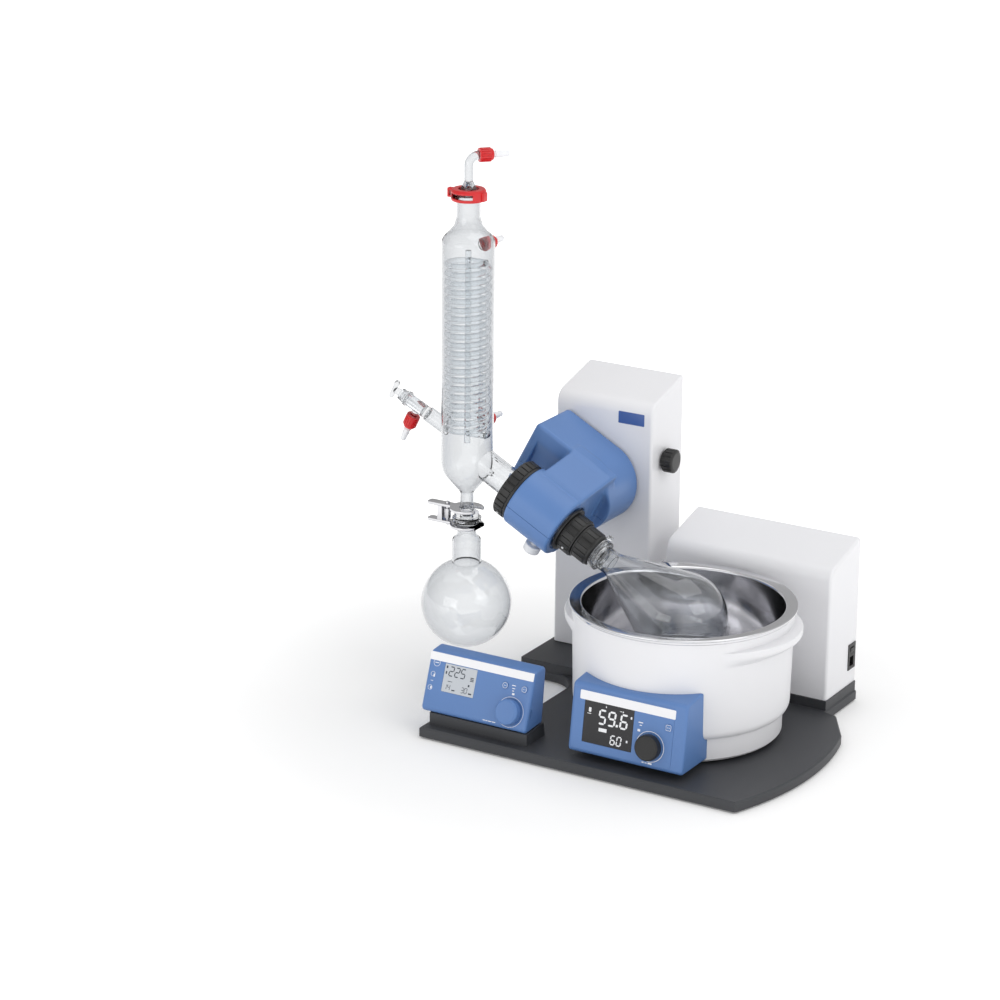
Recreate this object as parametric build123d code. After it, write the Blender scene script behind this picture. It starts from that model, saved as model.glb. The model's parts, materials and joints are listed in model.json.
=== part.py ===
from build123d import *
import math
import os

# Rotary evaporator: base plate with a lifting tower, a tilting drive head that
# turns a flask in a heating bath, and an upright glass condenser.
# Millimetres, +Z up, front faces -Y. The pieces are shifted together at export, so that the
# origin lies on the floor under the middle of the whole object.

# Driving dimensions: base plate
PLATE_LEFT = -249.0
PLATE_FRONT = -221.0
PLATE_BACK = 220.5
PLATE_CORNER_X = 233.0
PLATE_BULGE_X = 266.0
PLATE_BULGE_Y = -75.0
PLATE_WING_X = 251.0
PLATE_WING_Y = 60.0
PLATE_REAR_X = 197.5
PLATE_WING_BACK_Y = 122.0
FOOT_H = 2.5
PLATE_TOP = 16.5
PLATE_SKIN = 5.0
PLATE_WALL = 7.0
PLATE_CHAMFER = 2.0
PLINTH_TOP = 29.7
BAY_X = -151.0
BAY_FRONT_Y = -109.0
BAY_BACK_Y = 49.0
BAY_R = 44.0
RIB_T = 4.0
FOOT_R = 11.0

# Tower hood that rises with the head
HOOD_LEFT = -241.0
HOOD_W = 153.4
CASE_FRONT = 129.0
HOOD_TOP = 430.8
HOOD_FOOT = 31.0
CASE_SLOPE = 15.0
CASE_NOSE_R = 20.0
CASE_EDGE_R = 4.0
WALL = 3.0
LIFT = 140.0

# Rear housing
HOUSING_LEFT = -61.5
HOUSING_RIGHT = 194.0
HOUSING_TOP = 241.6

# Column, rods and spindle
COLUMN_W = 124.0
COLUMN_FRONT = 141.0
COLUMN_BACK = 212.0
COLUMN_TOP = 262.0
COLUMN_WALL = 2.5
COLUMN_CAP_T = 14.0
ROD_R = 8.0
ROD_SPREAD = 38.0
LIFT_STOP = 10.0
YOKE_T = 14.0
BUSH_WALL = 4.0
RUN = 0.05
SPINDLE_R = 6.0
SPINDLE_NECK_R = 4.0
LIFT_MOTOR_R = 24.0
LIFT_MOTOR_TOP = 70.0
CARRIAGE_FOOT = 268.0
CARRIAGE_TOP = 331.0
CARRIAGE_W = 104.0
CARRIAGE_FRONT = 146.0
CARRIAGE_BACK = 206.0
WING_FOOT = 310.0

# Tilt pivot and drive axis
AXIS_ANGLE = 28.0
AXIS_X = -166.1
AXIS_Y = -30.0
AXIS_Z = 286.9
PIVOT_RISE = 5.0
TILT_SHAFT_R = 15.0
TILT_BUSH_R = 20.0
TILT_BUSH_L = 18.0
HEAD_GAP = 2.0

# Drive head, measured along the drive axis from the tilt pivot
HEAD_LEFT = -95.0
HEAD_R = 57.0
HEAD_FRONT_Y = 70.0
BARREL_R = 45.0
BARREL_LEFT = -38.0
BARREL_RIGHT = 39.0
LINK_LEFT = -31.0
SCOOP_R = 79.5
SCOOP_LEFT = -81.0
SPLIT_B = -4.0
HEAD_WALL = 3.0
MOTOR_R = 24.0
MOTOR_Y = 112.0
MOTOR_B = 18.0
MOTOR_LEFT = -84.0
MOTOR_RIGHT = -20.0
BELT_LEFT = -14.0
BELT_W = 10.0
BELT_T = 2.0
MOTOR_PULLEY_R = 14.0
SHAFT_PULLEY_R = 31.5
SHAFT_R = 25.0
SHAFT_BORE_R = 17.0
BEARING_R = 36.0
BEARING_W = 10.0
BEARING_AT = 25.0
CORE_R = 39.0
COLLAR_R = 34.0
COLLAR_LEFT = -50.0
RING_LEFT = -59.0
RING_R = 43.5
RING_LIP = 2.8
RING_LIP_R = 24.0
DISC_R = 33.0
DISC_LEFT = 40.0
DISC_T = 4.0
CLAMP_RING_R = 27.0
CLAMP_RING_RIGHT = 66.0
NOSE_R = 20.0
PUSH_RING_R = 25.0
PUSH_RING_END_R = 23.4
PUSH_RING_RIGHT = 93.0
BUTTON_AT = 9.0
BUTTON_R = 12.0
BUTTON_FAR = 65.0
BUTTON_TRAVEL = 5.0
BUTTON_STEM_R = 5.0
FLUTES = 20
FLUTE_R = 1.6

# Glassware
GLASS = 2.4
DUCT_R = 13.5
DUCT_RIGHT = 122.0
FLASK_AT = 242.0
FLASK_R = 64.0
FLASK_CONE = 23.4
FLASK_NECK_R = 17.0
FLASK_NECK_LEFT = 98.0
FLASK_BEAD_R = 20.0
FLASK_BEAD_T = 4.0
CONDENSER_REACH = 125.4
CONDENSER_R = 36.5
CONDENSER_DROP = 23.6
CONDENSER_L = 322.0
CONDENSER_NECK_R = 16.5
CONDENSER_NECK_L = 62.0
TOP_FLANGE_RIM = 4.0
TOP_FLANGE_T = 5.0
SIDE_NECK_R = 21.0
SIDE_FLANGE_R = 30.0
SIDE_FLANGE_T = 5.6
DRIP_R = 9.6
DRIP_L = 72.0
BALL_R = 17.5
BALL_H = 8.0
SOCKET_WALL = 3.0
SOCKET_H = 12.0
COIL_R = 28.5
COIL_TUBE_R = 4.2
COIL_BALL = 0.3
COIL_TURNS = 20
COIL_LIFT = 48.0
COIL_DROP = 28.0
COIL_TAIL = 14.0
ELBOW_R = 6.0
ELBOW_WALL = 1.6
ELBOW_AZ = 47.0
ELBOW_RISE = 40.0
ELBOW_BEND_R = 14.0
CLIP_R = 24.0
CLIP_DROP = 7.0
CLIP_H = 16.0
PORT_AZ = 88.0
PORT_RISE = 0.0
PORT_R = 7.0
PORT_L = 12.0
PORT_LIFT = 55.0
PORT_DROP = 15.0
CAP_R = 10.0
CAP_L = 20.0
CAP_SEAT = 6.0
BARB_SEAT = 8.0
SIDE_PORT_TURN = -90.0
SIDE_PORT_AT = 18.0
SIDE_PORT_R = 5.0
SIDE_PORT_L = 22.0
BARB_R = 4.2
BARB_BORE_R = 2.4
BARB_TOOTH = 0.8
BARB_L = 34.0
ARM_RISE = 26.0
ARM_R = 11.0
ARM_L = 35.0
ARM_LIFT = 34.0
VALVE_R = 9.2
VALVE_L = 44.0
PLUG_R = 5.5
PLUG_STEM = 17.0
HANDLE_R = 4.0
HANDLE_L = 28.0
RECEIVER_DROP = 128.2
RECEIVER_R = 63.5
RECEIVER_NECK_R = 20.5
RECEIVER_TUBE_R = 13.5
RECEIVER_NECK_DROP = 27.0
CLAMP_R = 24.0
CLAMP_T = 4.0
CLAMP_REACH = 62.0
CLAMP_HALF_W = 6.8
CLAMP_TIP = 20.0
CLAMP_POST = 45.0
CLAMP_POST_L = 8.0
CLAMP_SCREW_AT = 31.5
CLAMP_SCREW_R = 3.0
CLAMP_NUT_R = 5.0
SEAT_GAP = 0.1

# Heating bath
BATH_X = 51.2
BATH_Y = -30.0
BATH_FOOT = 20.5
BATH_STEP = 54.0
BATH_LOW_R = 138.0
BATH_BODY_LOW_R = 147.5
BATH_BODY_R = 150.0
BATH_BODY_TOP = 192.0
RIM_TOP = 199.0
RIM_R = 154.6
RIM_T = 3.0
BOWL_R = 137.0
BOWL_T = 1.4
BOWL_FLOOR = 70.0
BOWL_CORNER = 26.0
LUG_R = 118.0
LUG_REACH = 17.0
LUG_TOP = 178.0
LUG_T = 19.0
SPOUT_AZ = 128.0
SPOUT_REACH = 13.0
SPOUT_W = 34.0
HEATER_R = 92.0
HEATER_TUBE_R = 4.0
POST_AT = 118.0
BATH_SLIDE = 30.0
BATH_GAP = 0.4

# Consoles
GLASS_T = 1.6
CONSOLE_WALL = 2.5
KNOB_R = 17.7
KNOB_H = 13.0
KNOB_STEM_R = 3.0
KEY_R = 4.6
KEY_RIM = 1.5
KEY_PROUD = 1.2
KEY_DEEP = 5.2
DRIVE_LEFT = -256.0
DRIVE_RIGHT = -91.0
PEDESTAL_FRONT = -204.0
PEDESTAL_BACK = -155.0
BATH_CONSOLE_LEFT = -27.3
BATH_CONSOLE_RIGHT = 144.7

MIN3 = (Align.CENTER, Align.CENTER, Align.MIN)
HOOD_MID = HOOD_LEFT + HOOD_W / 2
ROD_FOOT = COLUMN_TOP - COLUMN_CAP_T - YOKE_T - LIFT - LIFT_STOP
CASE_MID_Y = (COLUMN_FRONT + COLUMN_BACK) / 2
AXIS_TURN = math.radians(AXIS_ANGLE)
AXIS_DIR = Vector(math.cos(AXIS_TURN), 0, -math.sin(AXIS_TURN))
AXIS_UP = Vector(math.sin(AXIS_TURN), 0, math.cos(AXIS_TURN))
HEAD = Plane(origin=(AXIS_X, AXIS_Y, AXIS_Z), x_dir=AXIS_DIR, z_dir=AXIS_UP).location
PIVOT = Vector(AXIS_X, AXIS_Y, AXIS_Z) + AXIS_UP * PIVOT_RISE
HEAD_BACK_Y = CASE_FRONT - HEAD_GAP - AXIS_Y
CONDENSER_X = AXIS_X - CONDENSER_REACH
CONDENSER_FOOT = AXIS_Z + CONDENSER_REACH * math.tan(AXIS_TURN) - CONDENSER_DROP
CONDENSER_SHOULDER = CONDENSER_FOOT + CONDENSER_L
CONDENSER_NECK_TOP = CONDENSER_SHOULDER + CONDENSER_NECK_L
DRIP_FOOT = CONDENSER_FOOT - DRIP_L
COIL_FOOT = CONDENSER_FOOT + COIL_LIFT
COIL_TOP = CONDENSER_SHOULDER - COIL_DROP
PORT_LOW = CONDENSER_FOOT + PORT_LIFT
PORT_HIGH = CONDENSER_SHOULDER - PORT_DROP
ARM_Z = CONDENSER_FOOT + ARM_LIFT
RECEIVER_Z = DRIP_FOOT - RECEIVER_DROP
RECEIVER_NECK_TOP = DRIP_FOOT - RECEIVER_NECK_DROP
parts = {}


def block(x0, x1, y0, y1, z0, z1):
    """A box between two corners."""
    size = Box(x1 - x0, y1 - y0, z1 - z0)
    return Pos((x0 + x1) / 2, (y0 + y1) / 2, (z0 + z1) / 2) * size


def rod(radius, z0, z1, x=0.0, y=0.0):
    """An upright cylinder between two heights."""
    return Pos(x, y, z0) * Cylinder(radius, z1 - z0, align=MIN3)


def turned(*points):
    """A solid of revolution about Z from (radius, height) points."""
    outline = make_face(Polyline(*points, close=True))
    return revolve(Plane.XZ * outline, Axis.Z)


def ring(outer, inner, z0, z1):
    """A plain upright ring."""
    return turned((inner, z0), (outer, z0), (outer, z1), (inner, z1))


def on_axis(part):
    """Turns an upright part to lie along the drive axis, its height measured from the pivot."""
    return HEAD * Rot(0, 90, 0) * part


def fluted(part, radius, z0, z1, count=FLUTES):
    """Cuts grip grooves round an upright knob or ring."""
    groove = rod(FLUTE_R, z0, z1, radius + FLUTE_R * 0.35)
    for i in range(count):
        part -= Rot(0, 0, i * 360 / count) * groove
    return part


def outline_yz(points, x0, x1):
    """A prism along X from (y, z) points."""
    face = make_face(Polyline(*points, close=True))
    return Pos(x0, 0, 0) * extrude(Plane.YZ * face, x1 - x0)


def sloped_case(x0, x1, foot, top, inset=0.0, open_back=False, open_foot=True):
    """A housing with a top that slopes to the front; inset gives its inner space."""
    front = CASE_FRONT + inset
    back = PLATE_BACK - (0 if open_back and inset else inset)
    drop = math.tan(math.radians(CASE_SLOPE)) * (back - front)
    low = foot - (1 if inset and open_foot else 0)
    crown = top - inset
    points = ((back, low), (back, crown), (front, crown - drop), (front, low))
    case = outline_yz(points, x0 + inset, x1 - inset)
    nose = case.edges().filter_by(Axis.X).sort_by_distance((0, front, crown - drop))[0]
    return fillet(nose, CASE_NOSE_R - inset)


def plate_outline():
    """The base plate seen from above, with the bay for the receiving flask."""
    corner = BAY_R * (1 - math.sqrt(0.5))
    front = Line((PLATE_LEFT, PLATE_FRONT), (PLATE_CORNER_X, PLATE_FRONT))
    side = ThreePointArc(front @ 1, (PLATE_BULGE_X, PLATE_BULGE_Y), (PLATE_WING_X, PLATE_WING_Y))
    wing = Line(side @ 1, (PLATE_REAR_X + 18, PLATE_WING_BACK_Y - 4))
    step = Line(wing @ 1, (PLATE_REAR_X, PLATE_WING_BACK_Y))
    right = Line(step @ 1, (PLATE_REAR_X, PLATE_BACK))
    back = Line(right @ 1, (PLATE_LEFT, PLATE_BACK))
    left = Line(back @ 1, (PLATE_LEFT, BAY_BACK_Y))
    bay_back = Line(left @ 1, (BAY_X - BAY_R, BAY_BACK_Y))
    bend_back = ThreePointArc(bay_back @ 1, (BAY_X - corner, BAY_BACK_Y - corner),
                              (BAY_X, BAY_BACK_Y - BAY_R))
    bay_side = Line(bend_back @ 1, (BAY_X, BAY_FRONT_Y + BAY_R))
    bend_front = ThreePointArc(bay_side @ 1, (BAY_X - corner, BAY_FRONT_Y + corner),
                               (BAY_X - BAY_R, BAY_FRONT_Y))
    bay_front = Line(bend_front @ 1, (PLATE_LEFT, BAY_FRONT_Y))
    close = Line(bay_front @ 1, front @ 0)
    return make_face([front, side, wing, step, right, back, left, bay_back, bend_back,
                      bay_side, bend_front, bay_front, close])


def base():
    """Base plate, feet and their screws."""
    outline = plate_outline()
    plate = Pos(0, 0, FOOT_H) * extrude(outline, PLATE_TOP - FOOT_H)
    plate = chamfer(plate.faces().sort_by(Axis.Z)[-1].edges(), PLATE_CHAMFER)
    hollow = offset(outline, amount=-PLATE_WALL)
    depth = PLATE_TOP - FOOT_H - PLATE_SKIN
    pocket = Pos(0, 0, FOOT_H) * extrude(hollow, depth)
    for x in (-100.0, 0.0, 100.0, 200.0):
        pocket -= block(x, x + RIB_T, PLATE_FRONT, PLATE_BACK, 0, PLATE_TOP)
    for y in (-160.0, -60.0, 40.0, 140.0):
        pocket -= block(PLATE_LEFT, PLATE_BULGE_X, y, y + RIB_T, 0, PLATE_TOP)
    spots = ((-225, -198), (205, -198), (228, 20), (-225, 196), (172, 196))
    for x, y in spots:
        pocket -= rod(FOOT_R + 2, 0, PLATE_TOP, x, y)
    plate -= pocket
    tower_step = block(PLATE_LEFT + 1, HOOD_LEFT + HOOD_W + 3, BAY_BACK_Y + 1, PLATE_BACK,
                       PLATE_TOP - 1, PLINTH_TOP)
    rim_room = rod(RIM_R + 5, PLATE_TOP, PLINTH_TOP + 1, BATH_X, BATH_Y)
    rim_room += rod(BATH_LOW_R + 4, PLATE_TOP, PLINTH_TOP + 1, BATH_X - BATH_SLIDE, BATH_Y)
    housing_step = block(HOUSING_LEFT - 3, HOUSING_RIGHT + 1.5, CASE_FRONT - 3, PLATE_BACK,
                         PLATE_TOP - 1, PLINTH_TOP)
    plate += tower_step - rim_room
    plate += housing_step - rim_room
    pedestal = outline_yz(((PEDESTAL_FRONT, PLATE_TOP - 1), (PEDESTAL_FRONT, 33.24), (-159.0, 36.0),
                           (PEDESTAL_BACK, PLATE_TOP - 1)), DRIVE_LEFT + 13, DRIVE_RIGHT + 1.5)
    plate += pedestal - block(DRIVE_LEFT + 40, DRIVE_RIGHT - 40, -195, -170, PLATE_TOP, 40)
    feet = None
    screws = None
    for x, y in spots:
        foot = rod(FOOT_R, 0, FOOT_H, x, y) - rod(5, -1, 1, x, y) - rod(2.5, 0, FOOT_H + 1, x, y)
        screw = rod(4, 0.4, 1, x, y) + rod(2.5, 1, FOOT_H + 6, x, y)
        plate -= rod(2.5, FOOT_H - 1, FOOT_H + 6, x, y)
        feet = foot if feet is None else feet + foot
        screws = screw if screws is None else screws + screw
    parts["base_plate"] = plate
    parts["rubber_feet"] = feet
    parts["base_screws"] = screws


def column():
    """Fixed sheath inside the hood, with the spindle, its motor and the rod guides."""
    left = HOOD_MID - COLUMN_W / 2
    right = HOOD_MID + COLUMN_W / 2
    w = COLUMN_WALL
    sheath = block(left, right, COLUMN_FRONT, COLUMN_BACK, PLINTH_TOP, COLUMN_TOP - COLUMN_CAP_T)
    sheath -= block(left + w, right - w, COLUMN_FRONT + w, COLUMN_BACK - w, 0, COLUMN_TOP)
    cap = block(left, right, COLUMN_FRONT, COLUMN_BACK, COLUMN_TOP - COLUMN_CAP_T, COLUMN_TOP)
    bushes = None
    cap_foot = COLUMN_TOP - COLUMN_CAP_T
    for side in (-1, 1):
        x = HOOD_MID + side * ROD_SPREAD
        cap -= rod(ROD_R + BUSH_WALL, 0, COLUMN_TOP + 1, x, CASE_MID_Y)
        bush = rod(ROD_R + BUSH_WALL, cap_foot, COLUMN_TOP, x, CASE_MID_Y)
        bush -= rod(ROD_R + RUN, 0, COLUMN_TOP + 1, x, CASE_MID_Y)
        bushes = bush if bushes is None else bushes + bush
    cap -= rod(SPINDLE_NECK_R + RUN, 0, COLUMN_TOP - 4, HOOD_MID, CASE_MID_Y)
    motor = rod(LIFT_MOTOR_R, PLINTH_TOP, LIFT_MOTOR_TOP, HOOD_MID, CASE_MID_Y)
    motor -= rod(SPINDLE_NECK_R + RUN, LIFT_MOTOR_TOP - 12, LIFT_MOTOR_TOP + 1, HOOD_MID, CASE_MID_Y)
    neck = SPINDLE_NECK_R
    spindle = rod(neck, LIFT_MOTOR_TOP - 11, COLUMN_TOP - 5, HOOD_MID, CASE_MID_Y)
    spindle += rod(SPINDLE_R, LIFT_MOTOR_TOP + 2, cap_foot - 2, HOOD_MID, CASE_MID_Y)
    parts["lift_column"] = sheath + cap + bushes
    parts["lift_motor"] = motor
    parts["lift_spindle"] = spindle


def rear_housing():
    """White housing at the back right with its cover, inlet, switch and electronics."""
    shell = sloped_case(HOUSING_LEFT, HOUSING_RIGHT, PLINTH_TOP, HOUSING_TOP)
    corners = shell.edges().filter_by(Axis.Z).sort_by(Axis.Y)[:2]
    shell = fillet(corners, CASE_EDGE_R)
    shell -= sloped_case(HOUSING_LEFT, HOUSING_RIGHT, PLINTH_TOP, HOUSING_TOP, WALL)
    back_open = block(HOUSING_LEFT + 6, HOUSING_RIGHT - 6, PLATE_BACK - WALL - 1, PLATE_BACK + 1,
                      PLINTH_TOP + 5, HOUSING_TOP - 8)
    recess = block(HOUSING_LEFT + WALL, HOUSING_RIGHT - WALL, PLATE_BACK - 1.5, PLATE_BACK + 1,
                   PLINTH_TOP + 2, HOUSING_TOP - WALL - 2)
    shell -= back_open + recess
    cover = block(HOUSING_LEFT + WALL, HOUSING_RIGHT - WALL, PLATE_BACK - 1.5, PLATE_BACK,
                  PLINTH_TOP + 2, HOUSING_TOP - WALL - 2)
    for i in range(6):
        z = 150 + i * 9
        cover -= block(20, 110, PLATE_BACK - 3, PLATE_BACK + 1, z, z + 4)
    screws = None
    for x in (HOUSING_LEFT + 4.6, HOUSING_RIGHT - 4.6):
        for z in (PLINTH_TOP + 20, HOUSING_TOP - 30):
            hole = Pos(x, PLATE_BACK, z) * Rot(90, 0, 0) * Cylinder(1.5, 12)
            head = Pos(x, PLATE_BACK + 0.8, z) * Rot(90, 0, 0) * Cylinder(2.6, 1.6)
            cover -= hole
            shell -= hole
            screw = hole & block(x - 3, x + 3, PLATE_BACK - WALL, PLATE_BACK + 1, z - 3, z + 3)
            screws = screw + head if screws is None else screws + screw + head
    inlet_y = 206.5
    inlet_z = 71.0
    window = block(HOUSING_RIGHT - WALL - 1, HOUSING_RIGHT + 1, inlet_y - 9, inlet_y + 9,
                   inlet_z - 17, inlet_z + 17)
    shell -= window
    inlet = block(HOUSING_RIGHT - 26, HOUSING_RIGHT, inlet_y - 9, inlet_y + 5, inlet_z - 17, inlet_z + 17)
    inlet = inlet + block(HOUSING_RIGHT, HOUSING_RIGHT + 1.2, inlet_y - 11, inlet_y + 11,
                          inlet_z - 19, inlet_z + 19)
    inlet += block(HOUSING_RIGHT - WALL, HOUSING_RIGHT, inlet_y + 5, inlet_y + 9, inlet_z - 17, inlet_z + 17)
    bay = block(HOUSING_RIGHT - 8.4, HOUSING_RIGHT + 2, inlet_y - 5.2, inlet_y + 5.2,
                inlet_z + 3.8, inlet_z + 14.2)
    inlet -= block(HOUSING_RIGHT - 18, HOUSING_RIGHT + 2, inlet_y - 7, inlet_y + 4.9,
                   inlet_z - 14, inlet_z)
    inlet -= bay
    for dy, dz in ((-4, -9), (0, -4.5), (3, -9)):
        pin = block(HOUSING_RIGHT - 18, HOUSING_RIGHT - 6.5, inlet_y + dy - 1, inlet_y + dy + 1,
                    inlet_z + dz - 1, inlet_z + dz + 1)
        inlet += pin
    rocker = Rot(90, 0, 0) * Cylinder(4.9, 10)
    rocker += Rot(0, 8, 0) * block(0, 4.6, -5, 5, -4.4, 4.4)
    rocker = Pos(HOUSING_RIGHT - 3, inlet_y, inlet_z + 9) * rocker
    supply = block(HOUSING_LEFT + 20, HOUSING_LEFT + 110, 145, 200, PLINTH_TOP, PLINTH_TOP + 40)
    supply -= block(HOUSING_LEFT + 22, HOUSING_LEFT + 108, 147, 198, PLINTH_TOP + 2, PLINTH_TOP + 41)
    board = block(HOUSING_LEFT + 20, HOUSING_RIGHT - 60, 208, 209.6, PLINTH_TOP, PLINTH_TOP + 110)
    board += block(HOUSING_LEFT + 40, HOUSING_LEFT + 75, 196, 208, PLINTH_TOP + 55, PLINTH_TOP + 80)
    board += block(HOUSING_LEFT + 95, HOUSING_LEFT + 115, 200, 208, PLINTH_TOP + 50, PLINTH_TOP + 70)
    parts["rear_housing"] = shell
    parts["rear_cover"] = cover
    parts["base_screws"] += screws
    parts["power_inlet"] = inlet
    parts["power_switch"] = rocker
    parts["control_electronics"] = board + supply


def hood():
    """Tower hood and what rises with it: carriage, rods, yoke, nut, tilt bushes and clamp knob."""
    right = HOOD_LEFT + HOOD_W
    shell = sloped_case(HOOD_LEFT, right, HOOD_FOOT, HOOD_TOP)
    corners = shell.edges().filter_by(Axis.Z)
    shell = fillet(corners, CASE_EDGE_R)
    shell -= sloped_case(HOOD_LEFT, right, HOOD_FOOT, HOOD_TOP, WALL)
    hole = Pos(PIVOT.X, CASE_FRONT, PIVOT.Z) * Rot(90, 0, 0) * Cylinder(TILT_SHAFT_R + 4, 12)
    shell -= hole
    knob_y = 165.4
    knob_z = 321.5
    screw_hole = Pos(right, knob_y, knob_z) * Rot(0, 90, 0) * Cylinder(4.3, 12)
    shell -= screw_hole
    carriage = block(HOOD_MID - CARRIAGE_W / 2, HOOD_MID + CARRIAGE_W / 2, CARRIAGE_FRONT, CARRIAGE_BACK,
                     CARRIAGE_FOOT, CARRIAGE_TOP)
    carriage += block(HOOD_LEFT + WALL, right - WALL, CARRIAGE_FRONT + 8, CARRIAGE_BACK - 8,
                      WING_FOOT, CARRIAGE_TOP)
    bore = Pos(PIVOT.X, CASE_MID_Y, PIVOT.Z) * Rot(90, 0, 0) * Cylinder(TILT_BUSH_R, 100)
    carriage -= bore
    carriage -= Pos(right, knob_y, knob_z) * Rot(0, 90, 0) * Cylinder(4 + RUN, 90)
    bushes = None
    for y in (CARRIAGE_FRONT, CARRIAGE_BACK - TILT_BUSH_L):
        bush = Cylinder(TILT_BUSH_R, TILT_BUSH_L)
        bush = Pos(PIVOT.X, y + TILT_BUSH_L / 2, PIVOT.Z) * Rot(90, 0, 0) * bush
        bush -= Pos(PIVOT.X, y, PIVOT.Z) * Rot(90, 0, 0) * Cylinder(TILT_SHAFT_R + RUN, 60)
        bushes = bush if bushes is None else bushes + bush
    rods = None
    for side in (-1, 1):
        x = HOOD_MID + side * ROD_SPREAD
        guide = rod(ROD_R, ROD_FOOT, CARRIAGE_FOOT + 4, x, CASE_MID_Y)
        carriage -= rod(ROD_R, CARRIAGE_FOOT - 1, CARRIAGE_FOOT + 4, x, CASE_MID_Y)
        rods = guide if rods is None else rods + guide
    yoke = block(HOOD_MID - 52, HOOD_MID + 52, CASE_MID_Y - 18, CASE_MID_Y + 18, ROD_FOOT, ROD_FOOT + YOKE_T)
    for side in (-1, 1):
        yoke -= rod(ROD_R, 0, 200, HOOD_MID + side * ROD_SPREAD, CASE_MID_Y)
    yoke -= rod(12, 0, 200, HOOD_MID, CASE_MID_Y)
    nut = rod(12, ROD_FOOT - 6, ROD_FOOT + YOKE_T, HOOD_MID, CASE_MID_Y)
    nut += rod(16, ROD_FOOT - 10, ROD_FOOT, HOOD_MID, CASE_MID_Y)
    nut -= rod(SPINDLE_R + RUN, 0, 200, HOOD_MID, CASE_MID_Y)
    knob = fluted(rod(17, 1, 15), 17, 3, 20, 16) + rod(4, -24, 1)
    knob = Pos(right, knob_y, knob_z) * Rot(0, 90, 0) * knob
    parts["tower_hood"] = shell
    parts["lift_carriage"] = carriage + bushes
    parts["lift_rods"] = rods
    parts["lift_nut"] = yoke + nut
    parts["tilt_clamp_knob"] = knob


def head_form(inset=0.0):
    """Outer form of the drive head, or its inner space when inset, along the drive axis."""
    left = HEAD_LEFT + inset
    radius = HEAD_R - inset
    low = PIVOT_RISE - radius
    high = PIVOT_RISE + radius
    side = Line((left, low), (0, low))
    nose = ThreePointArc((0, low), (radius, PIVOT_RISE), (0, high))
    top = Line((0, high), (left, high))
    end = Line((left, high), (left, low))
    face = make_face([side, nose, top, end])
    back = HEAD_BACK_Y - inset
    front = HEAD_FRONT_Y + inset
    body = Pos(0, back, 0) * extrude(Plane.XZ * face, back - front)
    barrel_r = BARREL_R - inset
    a0 = BARREL_LEFT + inset
    a1 = BARREL_RIGHT - inset
    barrel = Pos(a0, 0, 0) * Rot(0, 90, 0) * Cylinder(barrel_r, a1 - a0, align=MIN3)
    link = block(LINK_LEFT + inset, a1, 0, front + 2, -barrel_r, barrel_r)
    form = body
    scoop = Rot(0, 90, 0) * Cylinder(SCOOP_R + inset, LINK_LEFT - SCOOP_LEFT + inset * 2, align=MIN3)
    form -= Pos(SCOOP_LEFT - inset, 0, 0) * scoop
    far_scoop = Rot(0, 90, 0) * Cylinder(SCOOP_R + inset, HEAD_R, align=MIN3)
    form -= Pos(BARREL_RIGHT - inset, 0, 0) * far_scoop
    return form + link + barrel


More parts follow.
